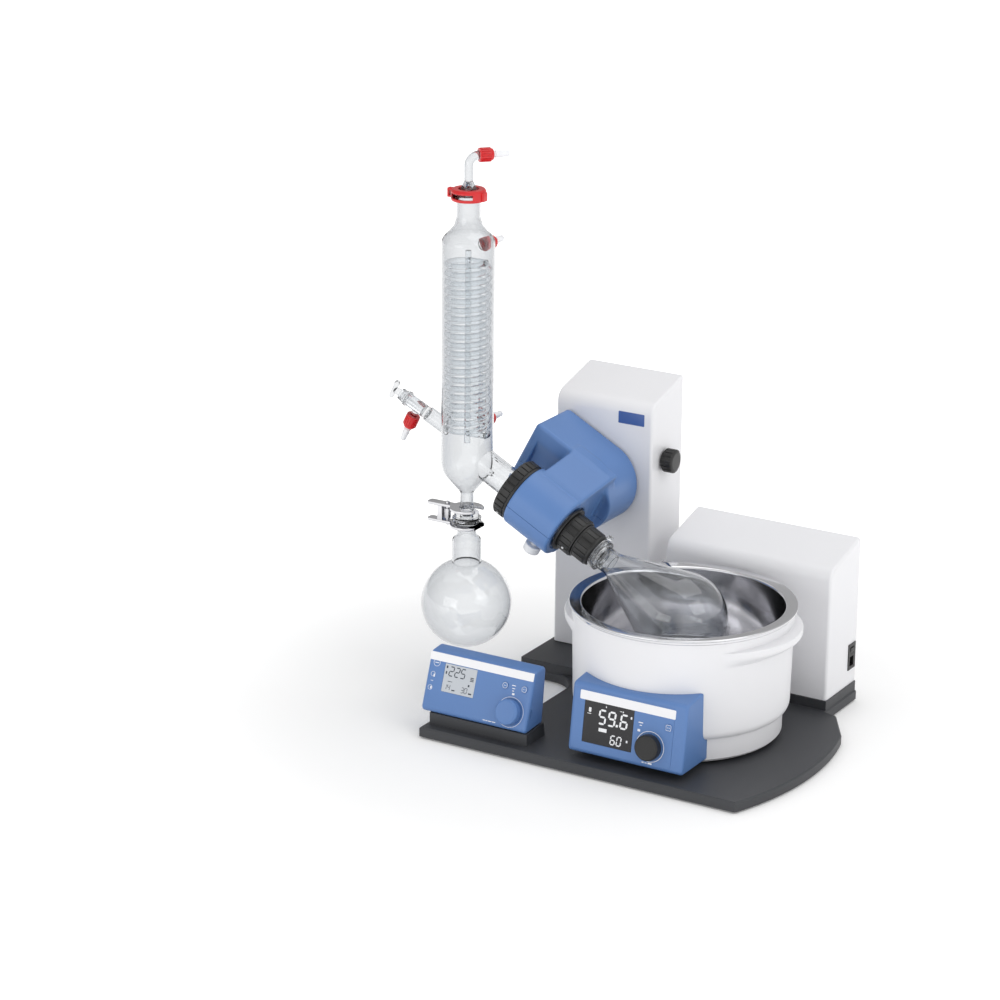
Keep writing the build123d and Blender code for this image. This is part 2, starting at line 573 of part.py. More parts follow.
def head():
    """Split head casing with the drive core, motor, belt pulleys and shaft lock."""
    outer = head_form()
    inner = head_form(HEAD_WALL)
    shell = outer - inner
    far = 400.0
    upper = shell & block(-far, far, -far, far, SPLIT_B, far)
    lower = shell & block(-far, far, -far, far, -far, SPLIT_B)
    core_hole = Pos(BARREL_LEFT - 5, 0, 0) * Rot(0, 90, 0) * Cylinder(CORE_R, 12, align=MIN3)
    nose_hole = Pos(BARREL_RIGHT - 10, 0, 0) * Rot(0, 90, 0) * Cylinder(DISC_R + 1, 20, align=MIN3)
    shaft_hole = Pos(0, HEAD_BACK_Y, PIVOT_RISE) * Rot(90, 0, 0) * Cylinder(TILT_SHAFT_R, 20)
    stem_hole = Pos(BUTTON_AT, 0, -BUTTON_FAR) * Cylinder(BUTTON_STEM_R + RUN, BUTTON_FAR - 20, align=MIN3)
    cuts = core_hole + nose_hole + shaft_hole + stem_hole
    upper -= cuts
    lower -= cuts
    flange = Pos(0, HEAD_BACK_Y - HEAD_WALL - 3, PIVOT_RISE) * Rot(90, 0, 0) * Cylinder(42, 6)
    shaft_y0 = HEAD_BACK_Y - HEAD_WALL - 6
    shaft_y1 = CARRIAGE_BACK + 2 - AXIS_Y
    tilt_shaft = Pos(0, shaft_y1, PIVOT_RISE) * Rot(90, 0, 0) * Cylinder(TILT_SHAFT_R, shaft_y1 - shaft_y0,
                                                                      align=MIN3)
    retainer = Pos(0, shaft_y1 + 3, PIVOT_RISE) * Rot(90, 0, 0) * Cylinder(TILT_SHAFT_R + 3, 3, align=MIN3)
    core = ring(CORE_R, BEARING_R, -38, 34)
    core += ring(COLLAR_R, 28, COLLAR_LEFT, -37)
    core += ring(CORE_R, 28, -38, -34)
    core = Rot(0, 90, 0) * core
    core -= block(BELT_LEFT - 2, BELT_LEFT + BELT_W + 2, 0, 60, -35, 35)
    core -= stem_hole
    web = block(LINK_LEFT + 4, BELT_LEFT - 4, 36, HEAD_FRONT_Y + 20, -6, 6)
    core += web - Rot(0, 90, 0) * Cylinder(CORE_R - 1, 200)
    bearings = ring(BEARING_R, SHAFT_R + RUN, -BEARING_AT - BEARING_W / 2, -BEARING_AT + BEARING_W / 2)
    bearings += ring(BEARING_R, SHAFT_R + RUN, BEARING_AT - BEARING_W / 2, BEARING_AT + BEARING_W / 2)
    seal = ring(COLLAR_R - 6, DUCT_R + RUN, COLLAR_LEFT, COLLAR_LEFT + 6)
    motor = Pos(MOTOR_LEFT, MOTOR_Y, MOTOR_B) * Rot(0, 90, 0) * Cylinder(MOTOR_R, MOTOR_RIGHT - MOTOR_LEFT,
                                                                        align=MIN3)
    motor -= Pos(MOTOR_RIGHT - 12, MOTOR_Y, MOTOR_B) * Rot(0, 90, 0) * Cylinder(3 + RUN, 20, align=MIN3)
    motor += block(MOTOR_LEFT + 10, MOTOR_LEFT + 40, MOTOR_Y - 12, MOTOR_Y + 12,
                   MOTOR_B + MOTOR_R - 2, PIVOT_RISE + HEAD_R - HEAD_WALL)
    motor_pulley = rod(MOTOR_PULLEY_R, BELT_LEFT, BELT_LEFT + BELT_W)
    motor_pulley += rod(MOTOR_PULLEY_R + 2.5, BELT_LEFT - 1.5, BELT_LEFT)
    motor_pulley += rod(3, MOTOR_RIGHT - 11, BELT_LEFT)
    motor_pulley = Pos(0, MOTOR_Y, MOTOR_B) * Rot(0, 90, 0) * motor_pulley
    gap = 0.3
    far_pt = (MOTOR_Y, MOTOR_B)
    circles = [Circle(SHAFT_PULLEY_R + gap + BELT_T),
               Pos(*far_pt) * Circle(MOTOR_PULLEY_R + gap + BELT_T)]
    belt_out = make_hull([e for c in circles for e in c.edges()])
    circles = [Circle(SHAFT_PULLEY_R + gap), Pos(*far_pt) * Circle(MOTOR_PULLEY_R + gap)]
    belt_in = make_hull([e for c in circles for e in c.edges()])
    belt = Pos(BELT_LEFT + 0.5, 0, 0) * extrude(Plane.YZ * (belt_out - belt_in), BELT_W - 1)
    button = rod(BUTTON_R, -BUTTON_FAR, -BUTTON_FAR + 12, BUTTON_AT, 0)
    button += rod(BUTTON_STEM_R, -BUTTON_FAR + 12, -(SHAFT_R + BUTTON_TRAVEL + 3), BUTTON_AT, 0)
    screws = None
    for a, y in ((-80, 140), (-10, 140), (-80, 95), (-10, 95)):
        screw = Pos(a, y, PIVOT_RISE - HEAD_R) * Cylinder(2.2, 12, align=MIN3)
        lower -= screw
        screws = screw if screws is None else screws + screw
    parts["head_upper_shell"] = HEAD * upper
    parts["head_lower_shell"] = HEAD * lower
    parts["head_fasteners"] = HEAD * (screws + retainer)
    parts["tilt_shaft"] = HEAD * (tilt_shaft + flange)
    parts["drive_core"] = HEAD * core
    parts["drive_bearings"] = on_axis(bearings)
    parts["vapour_seal"] = on_axis(seal)
    parts["drive_motor"] = HEAD * motor
    parts["motor_pulley"] = HEAD * motor_pulley
    parts["drive_belt"] = HEAD * belt
    parts["shaft_lock_button"] = HEAD * button


def rotor():
    """Hollow shaft with its pulley, rings, glass duct, clip and evaporating flask."""
    shaft = ring(SHAFT_R, SHAFT_BORE_R, -34, CLAMP_RING_RIGHT)
    shaft += ring(NOSE_R, SHAFT_BORE_R, CLAMP_RING_RIGHT - 1, PUSH_RING_RIGHT - 5)
    pulley = ring(SHAFT_PULLEY_R, SHAFT_R, BELT_LEFT, BELT_LEFT + BELT_W)
    pulley += ring(SHAFT_PULLEY_R + 3.5, SHAFT_R, BELT_LEFT + BELT_W, BELT_LEFT + BELT_W + 1.5)
    pulley += ring(SHAFT_PULLEY_R + 3.5, SHAFT_R, BELT_LEFT - 1.5, BELT_LEFT)
    disc = ring(DISC_R, SHAFT_R, DISC_LEFT, DISC_LEFT + DISC_T)
    clamp_left = DISC_LEFT + DISC_T
    clamp = ring(CLAMP_RING_R + 1.5, SHAFT_R, clamp_left, CLAMP_RING_RIGHT)
    clamp = fluted(clamp, CLAMP_RING_R + 1.5, clamp_left + 3, CLAMP_RING_RIGHT - 3)
    clear = 0.2
    push = turned((NOSE_R + RUN, CLAMP_RING_RIGHT + clear), (PUSH_RING_R, CLAMP_RING_RIGHT + clear),
                  (PUSH_RING_END_R, PUSH_RING_RIGHT), (NOSE_R + RUN, PUSH_RING_RIGHT))
    push = fluted(push, PUSH_RING_R, CLAMP_RING_RIGHT + 4, PUSH_RING_RIGHT + 3)
    seat = SHAFT_BORE_R
    duct = turned((DUCT_R - GLASS, COLLAR_LEFT + 0.5), (DUCT_R, COLLAR_LEFT + 0.5), (DUCT_R, 40), (seat, 46),
                  (seat, 58), (DUCT_R, 64), (DUCT_R, DUCT_RIGHT), (DUCT_R - GLASS, DUCT_RIGHT))
    cone = math.radians(FLASK_CONE)

    def bulb(r, neck_r, left):
        touch = (r * math.cos(cone), FLASK_AT - r * math.sin(cone))
        root = touch[1] - (touch[0] - neck_r) / math.tan(cone)
        mid = math.radians(90 + FLASK_CONE) / 2
        over = (r * math.sin(mid), FLASK_AT + r * math.cos(mid))
        wall = Polyline((0, left), (neck_r, left), (neck_r, root), touch)
        dome = ThreePointArc(touch, over, (0, FLASK_AT + r))
        close = Line((0, FLASK_AT + r), (0, left))
        return revolve(Plane.XZ * make_face([*wall.edges(), dome, close]), Axis.Z)

    flask = bulb(FLASK_R, FLASK_NECK_R, FLASK_NECK_LEFT)
    flask += rod(FLASK_BEAD_R, FLASK_NECK_LEFT, FLASK_NECK_LEFT + FLASK_BEAD_T)
    flask -= bulb(FLASK_R - GLASS, FLASK_NECK_R - GLASS, FLASK_NECK_LEFT - 1)
    clip = ring(FLASK_BEAD_R + 2, FLASK_NECK_R + 0.5, FLASK_NECK_LEFT + FLASK_BEAD_T, FLASK_NECK_LEFT + 7)
    clip += ring(FLASK_BEAD_R + 2, FLASK_BEAD_R, FLASK_NECK_LEFT - 4, FLASK_NECK_LEFT + 5)
    clip += ring(FLASK_BEAD_R + 2, DUCT_R + 1.5, FLASK_NECK_LEFT - 4, FLASK_NECK_LEFT - 2)
    clip += Pos(-(FLASK_BEAD_R + 5), 0, FLASK_NECK_LEFT + 2) * Rot(0, 90, 0) * Cylinder(2, 10)
    clip += Pos(-(FLASK_BEAD_R + 10), 0, FLASK_NECK_LEFT + 2) * Rot(0, 90, 0) * Cylinder(4.5, 4)
    parts["hollow_shaft"] = on_axis(shaft + pulley)
    parts["clamp_ring"] = on_axis(clamp + disc)
    parts["push_off_ring"] = on_axis(push)
    parts["vapour_duct"] = on_axis(duct)
    parts["evaporating_flask"] = on_axis(flask)
    parts["flask_clip"] = on_axis(clip)


def lock_ring():
    """Ribbed union ring that clamps the condenser flange to the head."""
    gap = 0.5
    body = ring(RING_R, COLLAR_R + RUN, RING_LEFT, BARREL_LEFT - gap)
    body += ring(RING_R, RING_LIP_R, RING_LEFT, RING_LEFT + RING_LIP)
    body = fluted(body, RING_R, RING_LEFT - 1, BARREL_LEFT - 4, 28)
    parts["lock_ring"] = on_axis(body)


def at_condenser(part):
    """Moves an upright part onto the condenser axis."""
    return Pos(CONDENSER_X, AXIS_Y, 0) * part


def aimed(part, azimuth, rise, z, reach=0.0):
    """Turns an upright part to point out of the condenser at an azimuth and rise."""
    turn = Rot(0, 0, azimuth) * Rot(0, 90 - rise, 0) * Pos(0, 0, reach)
    return at_condenser(Pos(0, 0, z) * turn * part)


def cooling_coil():
    """Wound glass tube with its straight return and the two water ends."""
    path = Helix(pitch=(COIL_TOP - COIL_FOOT) / COIL_TURNS, height=COIL_TOP - COIL_FOOT, radius=COIL_R)
    start = Plane(origin=path @ 0, z_dir=path % 0)
    coil = sweep(start * Circle(COIL_TUBE_R), path=path, is_frenet=True)
    for end in (path @ 0, path @ 1):
        turn = math.degrees(math.atan2(end.Y, end.X))
        coil += Pos(end.X, end.Y, end.Z) * Sphere(COIL_TUBE_R + COIL_BALL)
        arm = Cylinder(COIL_TUBE_R - COIL_BALL, COIL_R, align=MIN3)
        coil += Pos(0, 0, end.Z) * Rot(0, 0, turn) * Rot(0, 90, 0) * arm
    coil = Pos(0, 0, COIL_FOOT) * coil
    low = min(COIL_FOOT - COIL_TAIL, PORT_LOW)
    coil = at_condenser(coil + rod(COIL_TUBE_R, low, max(COIL_TOP, PORT_HIGH)))
    for z in (PORT_LOW, PORT_HIGH):
        coil += aimed(rod(COIL_TUBE_R - COIL_BALL, 0, CONDENSER_R), PORT_AZ, PORT_RISE, z)
        coil += aimed(rod(PORT_R - GLASS / 2, CONDENSER_R - GLASS, CONDENSER_R + 2), PORT_AZ, PORT_RISE, z)
    return coil


def condenser():
    """Glass jacket with coil, ports, elbow, stopcock and the screw caps and hose barbs."""
    def jacket_form(inset):
        r = CONDENSER_R - inset
        neck = CONDENSER_NECK_R - inset
        drip = DRIP_R - inset
        extra = 1 if inset else 0
        form = turned((0, DRIP_FOOT - extra), (drip, DRIP_FOOT - extra), (drip, CONDENSER_FOOT - 37),
                      (drip + 5, CONDENSER_FOOT - 31.5), (r - 12.2, CONDENSER_FOOT - 20.3),
                      (r - 3.1, CONDENSER_FOOT - 8.5), (r, CONDENSER_FOOT + 4),
                      (r, CONDENSER_SHOULDER), (r - 5, CONDENSER_SHOULDER + 7),
                      (r - 10, CONDENSER_SHOULDER + 11.5), (neck + 3, CONDENSER_SHOULDER + 20),
                      (neck, CONDENSER_SHOULDER + 32),
                      (neck, CONDENSER_NECK_TOP + extra), (0, CONDENSER_NECK_TOP + extra))
        form = at_condenser(form)
        side_r = SIDE_NECK_R - inset
        start = -CONDENSER_REACH / math.cos(AXIS_TURN)
        form += on_axis(rod(side_r, start, flange_right + extra))
        for z in (PORT_LOW, PORT_HIGH):
            form += aimed(rod(PORT_R - inset / 2, 0, CONDENSER_R + PORT_L + extra), PORT_AZ, PORT_RISE, z)
        form += aimed(rod(ARM_R - inset / 2, 0, valve_reach - inset / 2), 180, ARM_RISE, ARM_Z)
        return form

    flange_right = COLLAR_LEFT - SEAT_GAP
    valve_reach = CONDENSER_R + ARM_L
    flange = on_axis(rod(SIDE_FLANGE_R, flange_right - SIDE_FLANGE_T, flange_right))
    seat = CONDENSER_NECK_TOP
    rim = CONDENSER_NECK_R + TOP_FLANGE_RIM
    jacket = jacket_form(0) + flange
    jacket += at_condenser(ring(BALL_R, DRIP_R, DRIP_FOOT - 2, DRIP_FOOT + BALL_H))
    jacket += at_condenser(rod(rim, seat - TOP_FLANGE_T, seat))
    jacket -= jacket_form(GLASS)
    parts["cooling_coil"] = cooling_coil()
    bend_z = seat + ELBOW_RISE
    bore = ELBOW_R - ELBOW_WALL
    elbow = turned((bore, seat + SEAT_GAP), (rim, seat + SEAT_GAP), (rim, seat + TOP_FLANGE_T),
                   (ELBOW_R + 7, seat + TOP_FLANGE_T), (ELBOW_R, seat + 19), (ELBOW_R, bend_z), (bore, bend_z))
    bend_path = Plane.XZ * CenterArc((ELBOW_BEND_R, 0), ELBOW_BEND_R, 90, 90)
    bend_foot = Plane(origin=bend_path @ 1, z_dir=(0, 0, 1))
    bend = sweep(bend_foot * Circle(ELBOW_R), path=bend_path)
    bend -= sweep(bend_foot * Circle(bore), path=bend_path)
    elbow += Pos(0, 0, bend_z) * bend
    elbow = at_condenser(Rot(0, 0, ELBOW_AZ) * elbow)
    clip_foot = seat - CLIP_DROP
    clip_top = clip_foot + CLIP_H
    clip = ring(CLIP_R, rim + 0.3, clip_foot, clip_top)
    clip += ring(CLIP_R, CONDENSER_NECK_R + 0.3, clip_foot, seat - TOP_FLANGE_T - 0.3)
    clip += ring(CLIP_R, ELBOW_R + 8, clip_top - 3, clip_top)
    clip -= block(-CLIP_R * 0.7, CLIP_R * 0.7, -CLIP_R - 1, -CLIP_R * 0.5, clip_foot + 4, clip_top - 5)
    loop = block(-CLIP_R - 8, 1 - CLIP_R, -4, 4, clip_foot + 1, clip_top - 2)
    loop -= block(-CLIP_R - 5, -CLIP_R - 1, -5, 5, clip_foot + 4, clip_top - 5)
    clip += loop + block(CLIP_R - 2, CLIP_R + 3, -5, 5, clip_foot + 1, clip_top - 3)
    cap = fluted(rod(CAP_R, 0, CAP_L), CAP_R, 2, CAP_L + 1, 14)
    barb = rod(BARB_R, 0, BARB_L)
    for z in (CAP_L - BARB_SEAT + 3, CAP_L - BARB_SEAT + 10):
        barb += turned((0, z), (BARB_R + BARB_TOOTH, z), (BARB_R, z + 5), (0, z + 5))
    barb -= rod(BARB_BORE_R, -1, BARB_L + 1)
    caps = None
    barbs = None
    port_end = CONDENSER_R + CAP_SEAT
    for z in (PORT_LOW, PORT_HIGH):
        one_cap = aimed(cap - rod(PORT_R, -1, CAP_SEAT) - rod(BARB_R, 0, CAP_L + 1), PORT_AZ, PORT_RISE, z,
                        port_end)
        one_barb = aimed(barb, PORT_AZ, PORT_RISE, z, port_end + BARB_SEAT)
        caps = one_cap if caps is None else caps + one_cap
        barbs = one_barb if barbs is None else barbs + one_barb
    top_at = at_condenser(Rot(0, 0, ELBOW_AZ) * Pos(ELBOW_BEND_R, 0, bend_z + ELBOW_BEND_R) * Rot(0, 90, 0))
    caps += top_at * (cap - rod(BARB_R, -1, CAP_L + 1))
    barbs += top_at * Pos(0, 0, BARB_SEAT) * barb
    parts["condenser_jacket"] = jacket
    parts["condenser_elbow"] = elbow
    parts["elbow_clip"] = at_condenser(clip)
    valve_at = Pos(CONDENSER_X, AXIS_Y, ARM_Z) * Rot(0, ARM_RISE - 90, 0)
    valve_end = valve_reach + VALVE_L
    body = rod(VALVE_R, valve_reach, valve_end)
    body -= rod(PLUG_R + RUN, valve_reach + 6, valve_end + 1)
    side_at = Pos(0, 0, valve_reach + SIDE_PORT_AT) * Rot(0, SIDE_PORT_TURN, 0)
    side = side_at * Cylinder(SIDE_PORT_R, SIDE_PORT_L, align=MIN3)
    body += side - rod(PLUG_R + 1, 0, valve_end + 1)
    plug = rod(PLUG_R, valve_reach + 7, valve_end + PLUG_STEM)
    plug += Pos(0, 0, valve_end + PLUG_STEM) * Rot(0, 90, 0) * Cylinder(HANDLE_R, HANDLE_L)
    side_at = valve_at * side_at * Pos(0, 0, SIDE_PORT_L - CAP_SEAT)
    caps += side_at * (cap - rod(SIDE_PORT_R, -1, CAP_SEAT) - rod(BARB_R, 0, CAP_L + 1))
    barbs += side_at * Pos(0, 0, BARB_SEAT) * barb
    parts["condenser_jacket"] += valve_at * body
    parts["stopcock_plug"] = valve_at * plug
    parts["screw_caps"] = caps
    parts["hose_barbs"] = barbs


def fork(slot, z0, z1):
    """One plate of the joint clamp: a long grip at the left and a slot open to the right."""
    plate = rod(CLAMP_R, z0, z1) + block(-CLAMP_REACH, 0, -CLAMP_HALF_W, CLAMP_HALF_W, z0, z1)
    plate -= rod(slot, z0 - 1, z1 + 1) + block(0, CLAMP_R + 1, -slot, slot, z0 - 1, z1 + 1)
    plate -= block(CLAMP_TIP, CLAMP_R + 1, -CLAMP_R, CLAMP_R, z0 - 1, z1 + 1)
    return plate - rod(CLAMP_SCREW_R + RUN, z0 - 1, z1 + 1, -CLAMP_SCREW_AT, 0)


def receiver():
    """Receiving flask on its ball joint with the metal joint clamp and its screw."""
    socket_foot = DRIP_FOOT - SOCKET_H
    socket_r = BALL_R + SOCKET_WALL

    def form(inset):
        r = RECEIVER_R - inset
        neck = RECEIVER_NECK_R - inset
        tube = RECEIVER_TUBE_R - inset
        extra = 1 if inset else 0
        low = RECEIVER_Z - r
        meet = RECEIVER_Z + math.sqrt(r * r - neck * neck)
        wall = ThreePointArc((0, low), (r, RECEIVER_Z), (neck, meet))
        lines = Polyline((neck, meet), (neck, RECEIVER_NECK_TOP - 7), (tube, RECEIVER_NECK_TOP),
                         (tube, socket_foot - extra), (0, socket_foot - extra), (0, low))
        return revolve(Plane.XZ * make_face([wall, *lines.edges()]), Axis.Z)

    seat = DRIP_FOOT - 2 - SEAT_GAP
    flask = form(0) + turned((0, socket_foot), (RECEIVER_TUBE_R, socket_foot), (socket_r, socket_foot + 4),
                             (socket_r, seat), (0, seat))
    flask -= form(GLASS)
    flask -= rod(DRIP_R - GLASS, socket_foot - 2, DRIP_FOOT)
    upper_foot = DRIP_FOOT + BALL_H + SEAT_GAP
    lower_top = socket_foot - SEAT_GAP
    clamp = fork(DRIP_R + 0.6, upper_foot, upper_foot + CLAMP_T)
    clamp += fork(RECEIVER_TUBE_R + 0.6, lower_top - CLAMP_T, lower_top)
    clamp += block(-CLAMP_POST, CLAMP_POST_L - CLAMP_POST, -CLAMP_HALF_W, CLAMP_HALF_W, lower_top - 1,
                   upper_foot + 1)
    screw = rod(CLAMP_SCREW_R, lower_top - CLAMP_T - 3, upper_foot + CLAMP_T + 3, -CLAMP_SCREW_AT, 0)
    screw += rod(CLAMP_NUT_R, lower_top + 3, upper_foot - 3, -CLAMP_SCREW_AT, 0)
    parts["receiving_flask"] = at_condenser(flask)
    parts["joint_clamp"] = at_condenser(clamp)
    parts["clamp_screw"] = at_condenser(screw)


def bath():
    """Heating bath: bowl with rim and spout, housing with grip lugs, base, heater and pads."""
    def at_bath(part):
        return Pos(BATH_X, BATH_Y, 0) * part

    rim_foot = RIM_TOP - RIM_T
    bowl = turned((0, BOWL_FLOOR - BOWL_T), (BOWL_R - BOWL_CORNER, BOWL_FLOOR - BOWL_T),
                  (BOWL_R + BOWL_T - 8, BOWL_FLOOR + 8 - BOWL_T),
                  (BOWL_R + BOWL_T, BOWL_FLOOR + BOWL_CORNER), (BOWL_R + BOWL_T, rim_foot),
                  (RIM_R, rim_foot), (RIM_R, RIM_TOP), (BOWL_R, RIM_TOP), (BOWL_R, BOWL_FLOOR + BOWL_CORNER),
                  (BOWL_R - 8, BOWL_FLOOR + 8), (BOWL_R - BOWL_CORNER, BOWL_FLOOR), (0, BOWL_FLOOR))
    tip = RIM_R + SPOUT_REACH
    beak_face = make_face(Polyline((RIM_R - 8, -SPOUT_W / 2), (tip, 0),
                                   (RIM_R - 8, SPOUT_W / 2), close=True))
    beak = Pos(0, 0, rim_foot) * extrude(beak_face, RIM_T)
    groove_face = make_face(Polyline((BOWL_R - 6, -9), (tip - 6, 0), (BOWL_R - 6, 9), close=True))
    groove = Pos(0, 0, RIM_TOP - RIM_T / 2) * extrude(groove_face, RIM_T)
    bowl += Rot(0, 0, SPOUT_AZ) * beak
    bowl -= Rot(0, 0, SPOUT_AZ) * groove
    w = WALL
    housing = turned((BATH_LOW_R, BATH_STEP), (BATH_BODY_LOW_R - 3, BATH_STEP + 6),
                     (BATH_BODY_LOW_R, BATH_STEP + 12),
                     (BATH_BODY_R, BATH_BODY_TOP), (BATH_BODY_R, rim_foot), (BATH_BODY_R - w, rim_foot),
                     (BATH_BODY_LOW_R - w, BATH_STEP + 12), (BATH_LOW_R - w, BATH_STEP + w))
    for side in (-1, 1):
        centre = side * (BATH_BODY_R + LUG_REACH - LUG_R)
        lug = rod(LUG_R, LUG_TOP - LUG_T, LUG_TOP, centre, 0)
        lug = chamfer(lug.faces().sort_by(Axis.Z)[0].edges(), LUG_T - 7, 9)
        lug &= block(min(0, side * 300), max(0, side * 300), -95, 95, 0, 400)
        lug -= rod(BATH_BODY_R - w / 2, 0, 400)
        housing += lug
    foot = turned((BATH_LOW_R - 4, BATH_FOOT), (BATH_LOW_R, BATH_FOOT + 4), (BATH_LOW_R, BATH_STEP),
                  (BATH_LOW_R - w, BATH_STEP), (BATH_LOW_R - w, BATH_FOOT + w), (0, BATH_FOOT + w),
                  (0, BATH_FOOT))
    pads = None
    for i in range(4):
        t = math.radians(45 + 90 * i)
        x = 105 * math.cos(t)
        y = 105 * math.sin(t)
        pad = rod(10, PLATE_TOP + 0.3, BATH_FOOT, x, y)
        post = rod(5, BATH_FOOT + w, BOWL_FLOOR + BOWL_CORNER, x / 105 * POST_AT, y / 105 * POST_AT)
        pads = pad if pads is None else pads + pad
        foot += post - rod(BOWL_R + BOWL_T, BOWL_FLOOR - BOWL_T, 400)
    heater = Pos(0, 0, BOWL_FLOOR - BOWL_T - HEATER_TUBE_R) * Torus(HEATER_R, HEATER_TUBE_R)
    heater += Pos(0, 0, BOWL_FLOOR - BOWL_T - HEATER_TUBE_R) * Torus(HEATER_R - 30, HEATER_TUBE_R)
    heater += block(HEATER_R - 30, HEATER_R, -3, 3, BOWL_FLOOR - BOWL_T - 8, BOWL_FLOOR - BOWL_T - 4)
    parts["bath_bowl"] = at_bath(bowl)
    parts["bath_housing"] = at_bath(housing)
    parts["bath_base"] = at_bath(foot)
    parts["bath_pads"] = at_bath(pads)
    parts["bath_heater"] = at_bath(heater)


def console(name, x0, x1, section, window, knob_at, keys, cut):
    """A wedge console with a window, a turning knob and keys on its sloping face."""
    face_foot, face_top = section[:2]
    rise = Vector(0, face_top[0] - face_foot[0], face_top[1] - face_foot[1])
    out = Vector(1, 0, 0).cross(rise.normalized())
    on_face = Plane(origin=(x0, *face_foot), x_dir=(1, 0, 0), z_dir=out).location
    width = x1 - x0
    outer = outline_yz(section, x0, x1)
    outer = fillet(outer.edges().filter_by(Axis.X).sort_by_distance((0, *face_top))[0], 4)
    inner_face = offset(make_face(Polyline(*section, close=True)), amount=-CONSOLE_WALL)
    inner = Pos(x0 + CONSOLE_WALL, 0, 0) * extrude(Plane.YZ * inner_face, width - 2 * CONSOLE_WALL)
    case = outer - inner - cut
    wx0, wx1, wy0, wy1 = window
    kx, ky = knob_at
    deep = CONSOLE_WALL + 1
    case -= on_face * block(wx0, wx1, wy0, wy1, -deep, deep)
    case -= on_face * Pos(kx, ky, -deep) * Cylinder(KNOB_STEM_R + RUN, 2 * deep, align=MIN3)
    glass = block(wx0, wx1, wy0, wy1, -GLASS_T, 0)
    board = block(wx0 + 1, wx1 - 1, wy0 + 1, wy1 - 1, -GLASS_T - 5, -GLASS_T)
    board_right = max(x for x, y in keys) + 7
    board += block(wx0, board_right, ky - 12, wy1, -GLASS_T - 6.4, -GLASS_T - 5)
    board += block(kx - 7, kx + 7, ky - 7, ky + 7, -GLASS_T - 5, -CONSOLE_WALL)
    board -= Pos(kx, ky, -20) * Cylinder(KNOB_STEM_R + RUN, 40, align=MIN3)
    knob = rod(KNOB_R, 0.4, KNOB_H, kx, ky)
    knob = fillet(knob.faces().sort_by(Axis.Z)[-1].edges(), 2)
    knob += rod(KNOB_STEM_R, -GLASS_T - 5, 0.4, kx, ky)
    for i, (x, y) in enumerate(keys):
        case -= on_face * Pos(x, y, -deep) * Cylinder(KEY_R + RUN, 2 * deep, align=MIN3)
        key = rod(KEY_R, -CONSOLE_WALL, KEY_PROUD, x, y)
        key += rod(KEY_R + KEY_RIM, -KEY_DEEP, -CONSOLE_WALL, x, y)
        parts[f"{name}_key_{i + 1}"] = on_face * key
    parts[f"{name}_case"] = case
    parts[f"{name}_window"] = on_face * glass
    parts[f"{name}_board"] = on_face * board - cut
    parts[f"{name}_knob"] = on_face * knob


def consoles():
    """Drive console on its pedestal and bath console on the bath's front."""
    cable_way = block(DRIVE_LEFT + 40, DRIVE_RIGHT - 40, -195, -170, 20, 40)
    console("drive", DRIVE_LEFT, DRIVE_RIGHT,
            ((-208.0, 33.0), (-179.0, 114.0), (-150.0, 116.5), (-159.0, 36.0)),
            (26.0, 77.0, 33.5, 72.5), (137.0, 27.0), ((123.0, 61.0), (153.0, 61.0)), cable_way)
    gap = BATH_GAP
    lower = rod(BATH_LOW_R + gap, 0, BATH_STEP, BATH_X, BATH_Y)
    body = turned((0, BATH_STEP - 1), (BATH_LOW_R + gap, BATH_STEP - 1),
                  (BATH_BODY_LOW_R - 3 + gap, BATH_STEP + 6), (BATH_BODY_LOW_R + gap, BATH_STEP + 12),
                  (BATH_BODY_R + gap, BATH_BODY_TOP), (0, BATH_BODY_TOP))
    console("bath", BATH_CONSOLE_LEFT, BATH_CONSOLE_RIGHT,
            ((-203.0, 25.0), (-189.0, 120.0), (-112.0, 128.0), (-112.0, 25.0)),
            (20.0, 95.0, 17.0, 76.0), (122.0, 31.0), ((147.0, 62.0),),
            lower + Pos(BATH_X, BATH_Y, 0) * body)


def build():
    base()
    column()
    rear_housing()
    hood()
    head()
    rotor()
    lock_ring()
    condenser()
    receiver()
    bath()
    consoles()
    boxes = [part.bounding_box() for part in parts.values()]
    mid_x = (min(b.min.X for b in boxes) + max(b.max.X for b in boxes)) / 2
    mid_y = (min(b.min.Y for b in boxes) + max(b.max.Y for b in boxes)) / 2
    low_z = min(b.min.Z for b in boxes)
    os.makedirs("parts", exist_ok=True)
    for name, part in parts.items():
        export_step(Pos(-mid_x, -mid_y, -low_z) * part, f"parts/{name}.step")


build()
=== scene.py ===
import math
import json
import bpy
import bmesh
import numpy as np
from mathutils import Matrix, Vector


